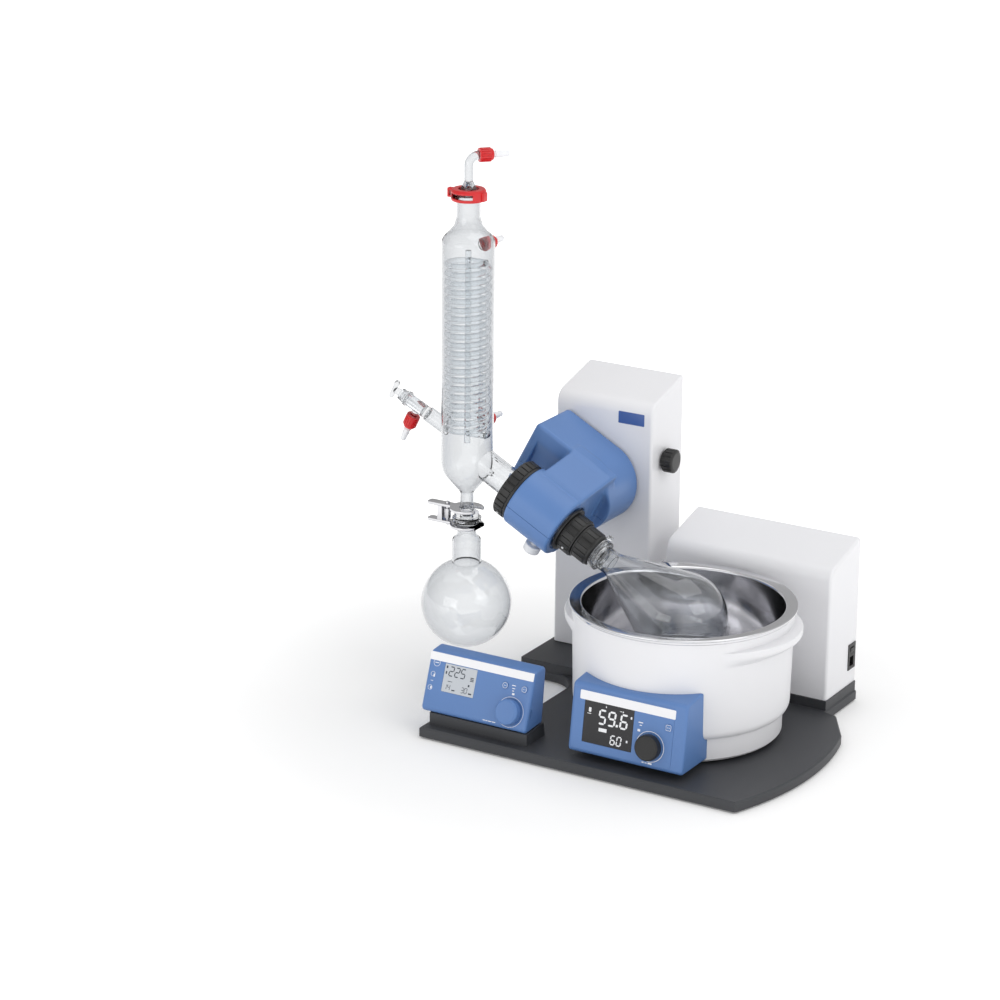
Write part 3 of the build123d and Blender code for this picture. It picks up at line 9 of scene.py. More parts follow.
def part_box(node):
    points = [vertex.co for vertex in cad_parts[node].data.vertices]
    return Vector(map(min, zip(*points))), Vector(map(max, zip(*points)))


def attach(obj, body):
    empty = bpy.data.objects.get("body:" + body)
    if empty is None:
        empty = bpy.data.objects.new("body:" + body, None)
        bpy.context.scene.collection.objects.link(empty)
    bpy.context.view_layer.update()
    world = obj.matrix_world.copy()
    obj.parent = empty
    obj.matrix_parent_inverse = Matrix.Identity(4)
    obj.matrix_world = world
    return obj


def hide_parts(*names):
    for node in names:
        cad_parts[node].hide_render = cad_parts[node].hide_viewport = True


# Rotary evaporator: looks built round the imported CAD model.
# Sizes are millimetres in the drawing's own coordinates and are shifted to the part's frame here.
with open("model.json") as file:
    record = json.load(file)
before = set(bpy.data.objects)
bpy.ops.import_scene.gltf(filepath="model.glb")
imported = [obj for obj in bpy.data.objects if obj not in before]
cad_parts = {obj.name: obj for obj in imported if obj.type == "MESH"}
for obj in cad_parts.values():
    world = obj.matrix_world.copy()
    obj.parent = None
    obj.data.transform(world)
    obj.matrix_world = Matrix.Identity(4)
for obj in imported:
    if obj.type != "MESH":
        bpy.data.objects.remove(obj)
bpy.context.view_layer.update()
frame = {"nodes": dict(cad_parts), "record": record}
low_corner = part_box("base_plate")[0]
SHIFT = Vector((low_corner[0] + 0.249, low_corner[1] + 0.221, low_corner[2] - 0.0025))
TURN = math.radians(28)
AXIS = Vector((-166.1, -30.0, 286.9))
DIR = Vector((math.cos(TURN), 0, -math.sin(TURN)))
UP = Vector((math.sin(TURN), 0, math.cos(TURN)))
COND = Matrix.Translation((-291.5, -30.0, 0))
BATH = Matrix.Translation((51.2, -30.0, 0))


def basis(origin, x, y, z):
    """Matrix with the given axes."""
    m = Matrix((x, y, z)).transposed().to_4x4()
    m.translation = origin
    return m


HEAD = basis(AXIS, DIR, Vector((0, 1, 0)), UP)
DRIVE = HEAD @ Matrix.Rotation(math.radians(90), 4, "Y")


# Materials
def material(name, color, rough, **more):
    m = bpy.data.materials.new(name)
    m.use_nodes = True
    p = m.node_tree.nodes["Principled BSDF"]
    p.inputs["Base Color"].default_value = (*color, 1)
    p.inputs["Roughness"].default_value = rough
    for key, value in more.items():
        p.inputs[key.replace("_", " ")].default_value = value
    return m


def node(m, kind, **values):
    n = m.node_tree.nodes.new(kind)
    for key, value in values.items():
        if key in n.inputs:
            n.inputs[key].default_value = value
        else:
            setattr(n, key, value)
    return n


def wire(m, a, out, b, into):
    m.node_tree.links.new(a.outputs[out], b.inputs[into])


def grain(m, scale, rough_low, rough_high, bump, tint=0.06, stretch=(1, 1, 1)):
    """Fine moulded or cast grain: roughness and height from noise, with a faint uneven colour."""
    p = m.node_tree.nodes["Principled BSDF"]
    place = node(m, "ShaderNodeTexCoord")
    spread = node(m, "ShaderNodeMapping")
    spread.inputs["Scale"].default_value = stretch
    wire(m, place, "Object", spread, "Vector")
    fine = node(m, "ShaderNodeTexNoise", Scale=scale, Detail=3.0)
    broad = node(m, "ShaderNodeTexNoise", Scale=9.0, Detail=4.0)
    wire(m, spread, "Vector", fine, "Vector")
    wire(m, place, "Object", broad, "Vector")
    rough = node(m, "ShaderNodeMapRange")
    rough.inputs["To Min"].default_value = rough_low
    rough.inputs["To Max"].default_value = rough_high
    wire(m, broad, "Fac", rough, "Value")
    wire(m, rough, "Result", p, "Roughness")
    if bump:
        lift = node(m, "ShaderNodeBump", Strength=bump, Distance=0.0003)
        wire(m, fine, "Fac", lift, "Height")
        wire(m, lift, "Normal", p, "Normal")
    color = p.inputs["Base Color"].default_value[:]
    ramp = node(m, "ShaderNodeValToRGB")
    ramp.color_ramp.elements[0].position = 0.3
    ramp.color_ramp.elements[1].position = 0.7
    ramp.color_ramp.elements[0].color = [c * (1 - tint) for c in color[:3]] + [1]
    ramp.color_ramp.elements[1].color = [min(1, c * (1 + tint)) for c in color[:3]] + [1]
    wire(m, broad, "Fac", ramp, "Fac")
    wire(m, ramp, "Color", p, "Base Color")
    return m


def glass(name, color=(1, 1, 1), rough=0.0, ior=1.47, outline_tint_and_shade=(0.26, 0.28, 0.32)):
    """Clear glass whose colour darkens towards its outline: partly the wall's own tint, where a ray runs a long way
    through the wall, and partly painted shade standing in for the dark edges that refraction shows.
    """
    m = material(name, color, rough, Transmission_Weight=1.0, IOR=ior)
    # Painted shade: the base colour runs from the clear colour to a dark grey as the surface turns away towards the
    # outline.
    edge = node(m, "ShaderNodeLayerWeight", Blend=0.22)
    ramp = node(m, "ShaderNodeValToRGB")
    ramp.color_ramp.elements[0].color = (*color, 1)
    ramp.color_ramp.elements[1].color = (*outline_tint_and_shade, 1)
    wire(m, edge, "Facing", ramp, "Fac")
    wire(m, ramp, "Color", m.node_tree.nodes["Principled BSDF"], "Base Color")
    return m


WHITE = grain(material("white_casing", (0.79, 0.79, 0.81), 0.42), 1400, 0.36, 0.46, 0.05, 0.012)
PLATE = grain(material("dark_plate", (0.040, 0.042, 0.047), 0.5), 1500, 0.42, 0.56, 0.22, 0.08)
BLUE = grain(material("blue_casing", (0.097, 0.205, 0.46), 0.38), 1200, 0.33, 0.43, 0.06, 0.03)
BLACK = grain(material("black_plastic", (0.009, 0.009, 0.009), 0.4), 1400, 0.34, 0.48, 0.1, 0.1)
SCREEN = grain(material("screen_black", (0.010, 0.010, 0.012), 0.2), 1000, 0.16, 0.22, 0.0, 0.05)
LCD = grain(material("lcd_pale", (0.50, 0.53, 0.57), 0.3), 1000, 0.26, 0.33, 0.0, 0.02)
STRIPE = grain(material("white_print", (0.86, 0.86, 0.88), 0.45), 1000, 0.4, 0.5, 0.0, 0.01)
STEEL = grain(material("steel", (0.62, 0.62, 0.64), 0.22, Metallic=1.0), 300, 0.14, 0.24, 0.03, 0.03, (1, 1, 30))
BRIGHT = grain(material("bright_steel", (0.70, 0.70, 0.72), 0.12, Metallic=1.0), 400, 0.08, 0.16, 0.02, 0.02)
ALU = grain(material("aluminium", (0.66, 0.66, 0.68), 0.35, Metallic=1.0), 500, 0.3, 0.42, 0.05, 0.03)
BRASS = grain(material("brass", (0.62, 0.45, 0.20), 0.3, Metallic=1.0), 500, 0.25, 0.38, 0.03, 0.04)
RUBBER = grain(material("rubber", (0.02, 0.02, 0.02), 0.7), 900, 0.6, 0.8, 0.2, 0.1)
RED = grain(material("red_plastic", (0.60, 0.010, 0.013), 0.28), 900, 0.22, 0.34, 0.03, 0.05)
PALE = grain(material("pale_plastic", (0.82, 0.83, 0.85), 0.4), 900, 0.34, 0.44, 0.03, 0.02)
BOARD = grain(material("circuit_board", (0.02, 0.16, 0.07), 0.45), 200, 0.35, 0.55, 0.1, 0.2)
GLASS = glass("clear_glass", (0.91, 0.92, 0.93))
COIL = glass("coil_glass", (0.86, 0.89, 0.91), ior=1.45)
CLEAR = glass("clear_plastic", (0.93, 0.94, 0.95), 0.12, 1.45)
BADGE = grain(material("badge_blue", (0.055, 0.115, 0.33), 0.35), 900, 0.3, 0.4, 0.0, 0.04)

LOOK = {
    "white_casing": WHITE, "dark_plate": PLATE, "blue_casing": BLUE, "black_plastic": BLACK,
    "dark_window": SCREEN, "glass": GLASS, "steel": STEEL, "aluminium": ALU, "brass": BRASS,
    "rubber": RUBBER, "red_plastic": RED, "pale_plastic": PALE, "board": BOARD,
}
slot_of = {s["node"]: s["material_slot"] for s in frame["record"]["subparts"]}
for name, thing in frame["nodes"].items():
    if not thing.material_slots:
        thing.data.materials.append(None)
    for slot in thing.material_slots:
        slot.material = LOOK[slot_of[name]]


# Mesh helpers
def piece(name, verts, faces, body, mat, slot, at=Matrix.Identity(4), sharp=35):
    """A mesh from points in millimetres, placed by a matrix and riding on a body."""
    data = bpy.data.meshes.new(name)
    points = [(at @ Vector(v)) * 0.001 + SHIFT for v in verts]
    data.from_pydata(points, [], faces)
    obj = bpy.data.objects.new(name, data)
    bpy.context.scene.collection.objects.link(obj)
    tidy(obj, sharp)
    data.materials.append(mat)
    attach(obj, body)
    return obj


def tidy(obj, sharp=35):
    """Welds doubled points, turns faces outwards and sets smooth shading."""
    shape = bmesh.new()
    shape.from_mesh(obj.data)
    bmesh.ops.remove_doubles(shape, verts=shape.verts, dist=1e-6)
    bmesh.ops.recalc_face_normals(shape, faces=shape.faces)
    shape.to_mesh(obj.data)
    shape.free()
    obj.data.shade_smooth()
    obj.data.set_sharp_from_angle(angle=math.radians(sharp))


def rounded(points, radii, closed=True, step=9):
    """Corner points with each corner rounded to its radius."""
    out = []
    n = len(points)
    for i, r in enumerate(radii if hasattr(radii, "__len__") else [radii] * n):
        here = Vector(points[i])
        if r <= 0 or (not closed and i in (0, n - 1)):
            out.append(here)
            continue
        a = Vector(points[i - 1]) - here
        b = Vector(points[(i + 1) % n]) - here
        la, lb = a.length, b.length
        a.normalize()
        b.normalize()
        half = a.angle(b) / 2
        if half > math.radians(89):
            out.append(here)
            continue
        cut = min(r / math.tan(half), la * 0.49, lb * 0.49)
        r = cut * math.tan(half)
        mid = (a + b).normalized() * (r / math.sin(half)) + here
        p, q = here + a * cut - mid, here + b * cut - mid
        turn = p.angle(q)
        count = max(2, int(math.degrees(turn) / step) + 1)
        sign = 1 if p.x * q.y - p.y * q.x > 0 else -1
        for k in range(count + 1):
            t = sign * turn * k / count
            out.append(mid + Vector((p.x * math.cos(t) - p.y * math.sin(t), p.x * math.sin(t) + p.y * math.cos(t))))
    return out


def lathe(profile, steps=96, closed=True):
    """Points and faces of a profile of (radius, height) turned about Z."""
    verts, faces = [], []
    n = len(profile)
    for i in range(steps):
        t = 2 * math.pi * i / steps
        verts += [(r * math.cos(t), r * math.sin(t), z) for r, z in profile]
    for i in range(steps):
        j = (i + 1) % steps
        for k in range(n if closed else n - 1):
            m = (k + 1) % n
            quad = [i * n + k, j * n + k, j * n + m, i * n + m]
            if profile[k][0] < 1e-6:
                quad.remove(j * n + k)
            if profile[m][0] < 1e-6:
                quad.remove(j * n + m)
            if len(quad) > 2:
                faces.append(quad)
    return verts, faces


def tube(path, radius, steps=20, closed=False, ends=True):
    """Points and faces of a round tube along points."""
    pts = [Vector(p) for p in path]
    verts, faces = [], []
    n = len(pts)
    side = None
    for i, p in enumerate(pts):
        ahead = pts[(i + 1) % n] if closed or i < n - 1 else p
        back = pts[i - 1] if closed or i > 0 else p
        d = (ahead - back).normalized()
        if side is None:
            side = d.orthogonal().normalized()
        side = (side - d * side.dot(d)).normalized()
        up = d.cross(side)
        r = radius[i] if hasattr(radius, "__len__") else radius
        for k in range(steps):
            t = 2 * math.pi * k / steps
            verts.append(p + side * math.cos(t) * r + up * math.sin(t) * r)
    for i in range(n if closed else n - 1):
        j = (i + 1) % n
        for k in range(steps):
            m = (k + 1) % steps
            faces.append((i * steps + k, i * steps + m, j * steps + m, j * steps + k))
    if ends and not closed:
        faces.append(tuple(range(steps))[::-1])
        faces.append(tuple(range((n - 1) * steps, n * steps)))
    return verts, faces


def prism(outline, z0, z1, soft=0.0, segments=3):
    """An outline of (x, y) points raised between two heights, its edges eased by insets."""
    n = len(outline)
    flat = [Vector(p) for p in outline]
    area = sum(flat[i - 1].x * flat[i].y - flat[i].x * flat[i - 1].y for i in range(n))
    sign = 1 if area > 0 else -1
    normals = []
    for i in range(n):
        d = (flat[(i + 1) % n] - flat[i - 1]).normalized()
        normals.append(Vector((d.y, -d.x)) * sign)
    rows = []
    for k in range(segments + 1):
        t = math.pi / 2 * k / segments
        rows.append((soft * (1 - math.sin(t)), z0 + soft * (1 - math.cos(t))))
    top = [(inset, z0 + z1 - z) for inset, z in reversed(rows)]
    rows = (rows + top) if soft else [(0, z0), (0, z1)]
    verts = [(*(flat[i] - normals[i] * inset), z) for inset, z in rows for i in range(n)]
    faces = []
    for k in range(len(rows) - 1):
        for i in range(n):
            j = (i + 1) % n
            faces.append((k * n + i, k * n + j, (k + 1) * n + j, (k + 1) * n + i))
    faces.append(tuple(range(n))[::-1])
    faces.append(tuple(range((len(rows) - 1) * n, len(rows) * n)))
    return verts, faces


def joined(*shapes):
    """Several (points, faces) pairs as one; each may carry a matrix."""
    verts, faces = [], []
    for shape in shapes:
        v, f = shape[:2]
        m = shape[2] if len(shape) > 2 else Matrix.Identity(4)
        base = len(verts)
        verts += [m @ Vector(p) for p in v]
        faces += [tuple(i + base for i in face) for face in f]
    return verts, faces


def cut(obj, other, how="DIFFERENCE"):
    """Joins or cuts one mesh with another, which is then removed."""
    step = obj.modifiers.new("cut", "BOOLEAN")
    step.operation = how
    step.solver = "EXACT"
    step.object = other
    depsgraph = bpy.context.evaluated_depsgraph_get()
    data = bpy.data.meshes.new_from_object(obj.evaluated_get(depsgraph))
    obj.modifiers.clear()
    obj.data = data
    bpy.data.objects.remove(other, do_unlink=True)


def tool(verts, faces, at=Matrix.Identity(4)):
    """A scratch mesh for cutting."""
    data = bpy.data.meshes.new("tool")
    data.from_pydata([(at @ Vector(v)) * 0.001 + SHIFT for v in verts], [], faces)
    obj = bpy.data.objects.new("tool", data)
    bpy.context.scene.collection.objects.link(obj)
    shape = bmesh.new()
    shape.from_mesh(data)
    bmesh.ops.remove_doubles(shape, verts=shape.verts, dist=1e-6)
    bmesh.ops.recalc_face_normals(shape, faces=shape.faces)
    shape.to_mesh(data)
    shape.free()
    return obj


def arc(cx, cy, r, a0, a1, count):
    return [(cx + r * math.cos(math.radians(a0 + (a1 - a0) * i / count)),
             cy + r * math.sin(math.radians(a0 + (a1 - a0) * i / count))) for i in range(count + 1)]


# Glassware
def flask_profile(inset):
    """Evaporating flask from mouth to pole, as (radius, distance along the drive axis)."""
    r, neck, centre = 64.0 - inset, 17.0 - inset, 242.0
    cone = math.radians(23.4)
    touch = (r * math.cos(cone), centre - r * math.sin(cone))
    root = (neck, touch[1] - (touch[0] - neck) / math.tan(cone))
    ball = [(r * math.cos(a), centre + r * math.sin(a)) for a in
            (-cone + (math.pi / 2 + cone) * i / 40 for i in range(1, 40))]
    lead = rounded([(neck, 98.0), root, touch], [0, 26, 0], closed=False)
    return [tuple(p) for p in lead] + ball + [(0.0, centre + r)]


outer = flask_profile(0)
inner = flask_profile(2.4)
bead = [(20.0, 98.0), (20.6, 99.0), (20.6, 101.0), (19.4, 102.2), (17.0, 104.0)]
flask = piece("evaporating_flask_glass", *lathe(bead + outer[1:] + inner[::-1] + [(14.6, 97.9)], 128), "rotor", GLASS,
              "glass", DRIVE, 60)
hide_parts("evaporating_flask")

duct = rounded([(11.1, -49.5), (13.5, -49.5), (13.5, 42), (17.0, 47), (17.0, 58), (13.5, 63), (13.5, 122),
                (11.1, 122)], [0.8, 0.8, 5, 4, 4, 5, 1, 1])
duct = piece("vapour_duct_glass", *lathe(duct, 72), "rotor", GLASS, "glass", DRIVE, 60)
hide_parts("vapour_duct")


REACH = 125.4
FOOT = 286.9 + REACH * math.tan(TURN) - 23.6
DRIP = FOOT - 72
SHOULDER = FOOT + 322
SEAT = SHOULDER + 62
BEND_Z = SEAT + 40
BEND_R = 14
PORTS = (FOOT + 55, SHOULDER - 15)
ARM_Z = FOOT + 34
ARM_END = 71.5
VALVE_END = ARM_END + 44


def jacket_line(inset):
    """Condenser's wall from the drip tip up to its top flange."""
    r, neck, drip = 36.5 - inset, 16.5 - inset, 9.6 - inset
    e = 1 if inset else 0
    pts = [(0, DRIP - e), (drip, DRIP - e), (drip, FOOT - 37), (drip + 5, FOOT - 31.5), (r - 12.2, FOOT - 20.3),
           (r - 3.1, FOOT - 8.5), (r, FOOT + 4), (r, SHOULDER), (r - 5, SHOULDER + 7), (r - 10, SHOULDER + 11.5),
           (neck + 3, SHOULDER + 20), (neck, SHOULDER + 32), (neck, SEAT + e), (0, SEAT + e)]
    return rounded(pts, [0, 0, 7, 9, 22, 22, 22, 12, 12, 12, 12, 14, 0, 0])


def spoke(az, rise, z, reach=0.0):
    """Matrix that points Z out of the condenser."""
    return (COND @ Matrix.Translation((0, 0, z)) @ Matrix.Rotation(math.radians(az), 4, "Z")
            @ Matrix.Rotation(math.radians(90 - rise), 4, "Y") @ Matrix.Translation((0, 0, reach)))


def plain(r, z0, z1, soft=0.0):
    return lathe(rounded([(0, z0), (r, z0), (r, z1), (0, z1)], [0, soft, soft, 0]), 64)


side_start = -REACH / math.cos(TURN)
valve = spoke(180, 26, ARM_Z)
side_port = valve @ Matrix.Translation((0, 0, ARM_END + 18)) @ Matrix.Rotation(math.radians(90), 4, "Y")
jacket = piece("condenser_glass", *lathe(jacket_line(0), 128), "head", GLASS, "glass", COND, 60)
ball = rounded([(0, DRIP - 2), (17.5, DRIP - 2), (17.5, DRIP + 5), (12, DRIP + 8), (0, DRIP + 8)], [0, 3, 4, 3, 0])
for verts, faces, at in [
        (*plain(21, side_start, -50.2), DRIVE), (*plain(30, -55.8, -50.1, 1.5), DRIVE),
        *[(*plain(7, 0, 48.5), spoke(88, 0, z)) for z in PORTS],
        (*plain(11, 0, ARM_END, 2), valve), (*plain(20.5, SEAT - 5, SEAT, 1.5), COND), (*lathe(ball, 64), COND)]:
    cut(jacket, tool(verts, faces, at), "UNION")
for verts, faces, at in [
        (*lathe(jacket_line(2.4), 128), COND), (*plain(18.6, side_start, -49), DRIVE),
        *[(*plain(5.8, 0, 50), spoke(88, 0, z)) for z in PORTS], (*plain(9.8, 0, ARM_END - 1.5), valve)]:
    cut(jacket, tool(verts, faces, at))
socket = rounded([(0, ARM_END - 1), (9.2, ARM_END - 1), (9.2, VALVE_END), (0, VALVE_END)], [0, 0.5, 1, 0])
gland = rounded([(0, VALVE_END - 10), (11, VALVE_END - 10), (11, VALVE_END - 4), (0, VALVE_END - 4)], [0, 1.5, 1.5, 0])
for verts, faces, at in [(*lathe(socket, 64), valve), (*lathe(gland, 64), valve), (*plain(5, 0, 22, 1), side_port)]:
    cut(jacket, tool(verts, faces, at), "UNION")
cut(jacket, tool(*plain(5.7, ARM_END + 6, VALVE_END + 1), valve))
tidy(jacket, 50)
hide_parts("condenser_jacket")

COIL_LOW, COIL_HIGH = FOOT + 48, SHOULDER - 28
helix = [(28.5 * math.cos(t), 28.5 * math.sin(t), COIL_LOW + (COIL_HIGH - COIL_LOW) * t / (40 * math.pi)) for t in
         (2 * math.pi * i / 48 for i in range(20 * 48 + 1))]
coil = joined(tube([(0, 0, COIL_LOW)] + helix + [(0, 0, COIL_HIGH)], 4.1, 16),
              tube([(0, 0, COIL_LOW - 14), (0, 0, PORTS[1])], 4.2, 24))
coil = piece("cooling_coil_glass", *coil, "head", COIL, "glass", COND, 60)
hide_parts("cooling_coil")

elbow_path = [(0, 0, SEAT + 19), (0, 0, SEAT + 30), (0, 0, BEND_Z)]
elbow_path += [(BEND_R - x, 0, BEND_Z + z) for x, z in arc(0, 0, BEND_R, 0, 90, 14)[1:]]
ELBOW = COND @ Matrix.Rotation(math.radians(47), 4, "Z")
elbow = piece("elbow_glass", *joined(
    lathe(rounded([(4.4, SEAT + 0.1), (20.5, SEAT + 0.1), (20.5, SEAT + 5), (13, SEAT + 5), (6, SEAT + 19),
                   (4.4, SEAT + 19)], [0, 1.5, 1.5, 2, 6, 0]), 64),
    tube(elbow_path, 6, 40, ends=False), tube(elbow_path, 4.4, 40, ends=False)), "head", GLASS, "glass", ELBOW, 50)
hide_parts("condenser_elbow")


def receiver_line(inset):
    r, neck, top = 63.5 - inset, 20.5 - inset, 13.5 - inset
    meet = math.asin(neck / r)
    ball = [(r * math.sin(a), DRIP - 128.2 - r * math.cos(a)) for a in ((math.pi - meet) * i / 48 for i in range(49))]
    lead = rounded([ball[-1], (neck, DRIP - 34), (top, DRIP - 27), (top, DRIP - 14)], [0, 8, 8, 0], closed=False)
    return ball + [tuple(p) for p in lead[1:]]


line = receiver_line(0) + [(14.5, DRIP - 11.8), (20.5, DRIP - 8), (20.5, DRIP - 2.4), (17.2, DRIP - 2.1)]
line += [(15.0, DRIP - 7), (11.1, DRIP - 11)] + receiver_line(2.4)[::-1]
receiver = piece("receiving_flask_glass", *lathe(line, 128, False), "head", GLASS, "glass", COND, 50)
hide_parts("receiving_flask")

# Drive head: a smooth solid from a distance field, split along its seam
def smooth_join(a, b, k):
    h = np.clip(0.5 + 0.5 * (b - a) / k, 0, 1)
    return b * (1 - h) + a * h - k * h * (1 - h)


def smooth_cut(a, b, k):
    return -smooth_join(-a, b, k)


def box2(x, y, x0, x1, y0, y1, r):
    qx = np.abs(x - (x0 + x1) / 2) - (x1 - x0) / 2 + r
    qy = np.abs(y - (y0 + y1) / 2) - (y1 - y0) / 2 + r
    return np.hypot(np.maximum(qx, 0), np.maximum(qy, 0)) + np.minimum(np.maximum(qx, qy), 0) - r


def slab(flat, y, y0, y1, r):
    """A flat distance field made solid between two planes, with rounded edges."""
    qy = np.abs(y - (y0 + y1) / 2) - (y1 - y0) / 2 + r
    q = flat + r
    return np.hypot(np.maximum(q, 0), np.maximum(qy, 0)) + np.minimum(np.maximum(q, qy), 0) - r


def head_field(p):
    """Distance to the head's surface, in its own frame: along the drive, back, and up."""
    a, y, b = p[..., 0], p[..., 1], p[..., 2]
    side = np.minimum(box2(a, b, -95, 20, -52, 62, 7), np.hypot(a, b - 5) - 57)
    side = np.maximum(side, np.where(a > 0, np.hypot(a, b - 5) - 57, -99))
    body = slab(side, y, 70, 157, 5)
    axial = np.hypot(y, b)
    scoop = np.maximum(axial - 79.5, np.abs(a + 56) - 25)
    body = smooth_cut(body, scoop, 3.0)
    body = smooth_cut(body, np.maximum(axial - 79.5, 39 - a), 3.0)
    barrel = slab(axial - 45, a, -38, 39, 3.5)
    top = 45 + 17 * np.clip(y / 75, 0, 1)
    foot = -45 - 7 * np.clip(y / 75, 0, 1)
    arm = np.maximum(b - top, foot - b) * 0.97
    arm = np.maximum(arm, np.abs(y - 45) - 45)
    arm = slab(arm, a, -31, 39, 3.5)
    form = smooth_join(barrel, arm, 4.0)
    form = smooth_join(body, form, 7.0)
    form = smooth_cut(form, np.maximum(axial - 35, 36.5 - a), 1.2)
    form = smooth_cut(form, np.maximum(axial - 40, a + 36.5), 1.2)
    form = smooth_cut(form, np.hypot(a - 9, y) - 5.3 + 99 * (b > -20), 0.6)
    return form


def net(field, low, high, h):
    """Points and quads of a field's zero surface on a grid, pulled onto the surface."""
    axes = [np.arange(l, u + h, h) for l, u in zip(low, high)]
    grid = np.stack(np.meshgrid(*axes, indexing="ij"), -1)
    f = field(grid)
    s = f < 0
    n = [k - 1 for k in f.shape]
    total = np.zeros((*n, 3))
    count = np.zeros(n)
    corners = [(i, j, k) for i in (0, 1) for j in (0, 1) for k in (0, 1)]

    def at(v, c):
        return v[c[0]:c[0] + n[0], c[1]:c[1] + n[1], c[2]:c[2] + n[2]]

    for c in corners:
        for axis in range(3):
            if c[axis]:
                continue
            d = tuple(v + (1 if i == axis else 0) for i, v in enumerate(c))
            cross = at(s, c) != at(s, d)
            fc, fd = at(f, c), at(f, d)
            t = np.where(cross, fc / np.where(cross, fc - fd, 1), 0)
            total += np.where(cross[..., None], at(grid, c) + t[..., None] * (at(grid, d) - at(grid, c)), 0)
            count += cross
    used = count > 0
    index = np.full(n, -1)
    index[used] = np.arange(used.sum())
    pts = total[used] / count[used][:, None]
    for _ in range(3):
        e = 0.05
        g = np.stack([(field(pts + e * np.eye(3)[i]) - field(pts - e * np.eye(3)[i])) / (2 * e)
                      for i in range(3)], -1)
        step = field(pts)[:, None] * g / np.maximum((g * g).sum(-1), 0.3)[:, None]
        pts = pts - np.clip(step, -h / 2, h / 2)
    quads = []
    for axis in range(3):
        u, v = [i for i in range(3) if i != axis]
        lo = [slice(1, m) for m in n]
        lo[axis] = slice(0, n[axis])
        up = list(lo)
        up[axis] = slice(1, n[axis] + 1)
        cross = s[tuple(lo)] != s[tuple(up)]
        where = np.argwhere(cross) + [0 if i == axis else 1 for i in range(3)]
        for q in where:
            cell = []
            for du, dv in ((-1, -1), (0, -1), (0, 0), (-1, 0)):
                c = list(q)
                c[u] += du
                c[v] += dv
                cell.append(int(index[tuple(c)]))
            quads.append(cell)
    return pts, quads


upper_points, upper_quads = net(head_field, (-98, -49, -56), (60, 160, 66), 1.5)


def half(name, keep_top):
    """One shell of the head: the smooth solid cut at the seam."""
    obj = tool(upper_points.tolist(), upper_quads, HEAD)
    obj.name = name
    lo, hi = (-3.7, 99) if keep_top else (-99, -4.3)
    block = prism([(-150, -150), (150, -150), (150, 250), (-150, 250)], lo, hi)
    cut(obj, tool(*block, HEAD), "INTERSECT")
    return obj


def finish_piece(obj, body, mat, sharp=35):
    tidy(obj, sharp)
    obj.data.materials.clear()
    obj.data.materials.append(mat)
    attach(obj, body)
    return obj


top_shell = half("head_top_casing", True)
low_shell = half("head_low_casing", False)
for a, y in ((10, -20),):
    hole = plain(3.4, -60, -30)
    cut(low_shell, tool(*hole, HEAD @ Matrix.Translation((a, y, 0))))
finish_piece(top_shell, "head", BLUE, 30)
finish_piece(low_shell, "head", BLUE, 30)
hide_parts("head_upper_shell")
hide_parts("head_lower_shell")


# Ribbed rings on the drive axis
def ribbed(r, depth, count, wide, per=6):
    """Outline of a ring with flat ribs and narrow grooves between them."""
    out = []
    for i in range(count):
        for t, rr in ((-0.5 * wide, r), (-0.25 * wide, r), (0.0, r), (0.25 * wide, r), (0.5 * wide, r),
                      (0.5 * wide + 0.06, r - depth), (1 - 0.5 * wide - 0.06, r - depth)):
            a = 2 * math.pi * (i + t) / count
            out.append((rr * math.cos(a), rr * math.sin(a)))
    return out


def ring_piece(name, parts, body, mat, slot, node_name):
    obj = piece(name, *joined(*parts), body, mat, slot, DRIVE, 28)
    if node_name:
        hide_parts(node_name)
    return obj


def collar(points, radii, steps=96):
    return lathe(rounded(points, radii), steps)


ring_piece("lock_ring_ribbed", [
    prism(ribbed(43.5, 1.3, 28, 0.74), -56.5, -42.5, 0.6),
    collar([(24, -59), (41, -59), (42.2, -57.5), (42.2, -56), (34.1, -56), (34.1, -56.2), (24, -56.2)], [1, 2, 1, 0, 0, 0, 0]),
    collar([(34.1, -57), (41.9, -57), (41.9, -38.6), (34.1, -38.6)], [0, 0.4, 0.4, 0])],
    "lock_ring", BLACK, "black_plastic", "lock_ring")
ring_piece("clamp_ring_ribbed", [
    collar([(25, 40), (33, 40), (33, 44), (25, 44)], [0, 0.8, 0.8, 0]),
    prism(ribbed(28.5, 1.0, 20, 0.72), 46.5, 63.5, 0.5),
    collar([(25, 44), (27.6, 44), (27.6, 66), (25, 66)], [0, 0.5, 1.2, 0])],
    "rotor", BLACK, "black_plastic", "clamp_ring")
ring_piece("push_off_ring_ribbed", [
    prism(ribbed(24.8, 1.0, 18, 0.72), 69, 88, 0.5),
    collar([(20.05, 66.2), (25.2, 66.2), (25.2, 68.6), (24, 70), (23.6, 91), (22.4, 93), (20.05, 93)],
           [0, 0.6, 0.6, 0, 0.8, 0.6, 0])],
    "push_off_ring", BLACK, "black_plastic", "push_off_ring")


def dot(name, r, at_angle, radius, along, body):
    """A small white index dot set in a ring."""
    turn = DRIVE @ Matrix.Rotation(at_angle, 4, "Z") @ Matrix.Translation((radius, 0, along)) @ Matrix.Rotation(
        math.radians(90), 4, "Y")
    return piece(name, *plain(r, -1, 0.25, 0.1), body, STRIPE, "pale_plastic", turn)


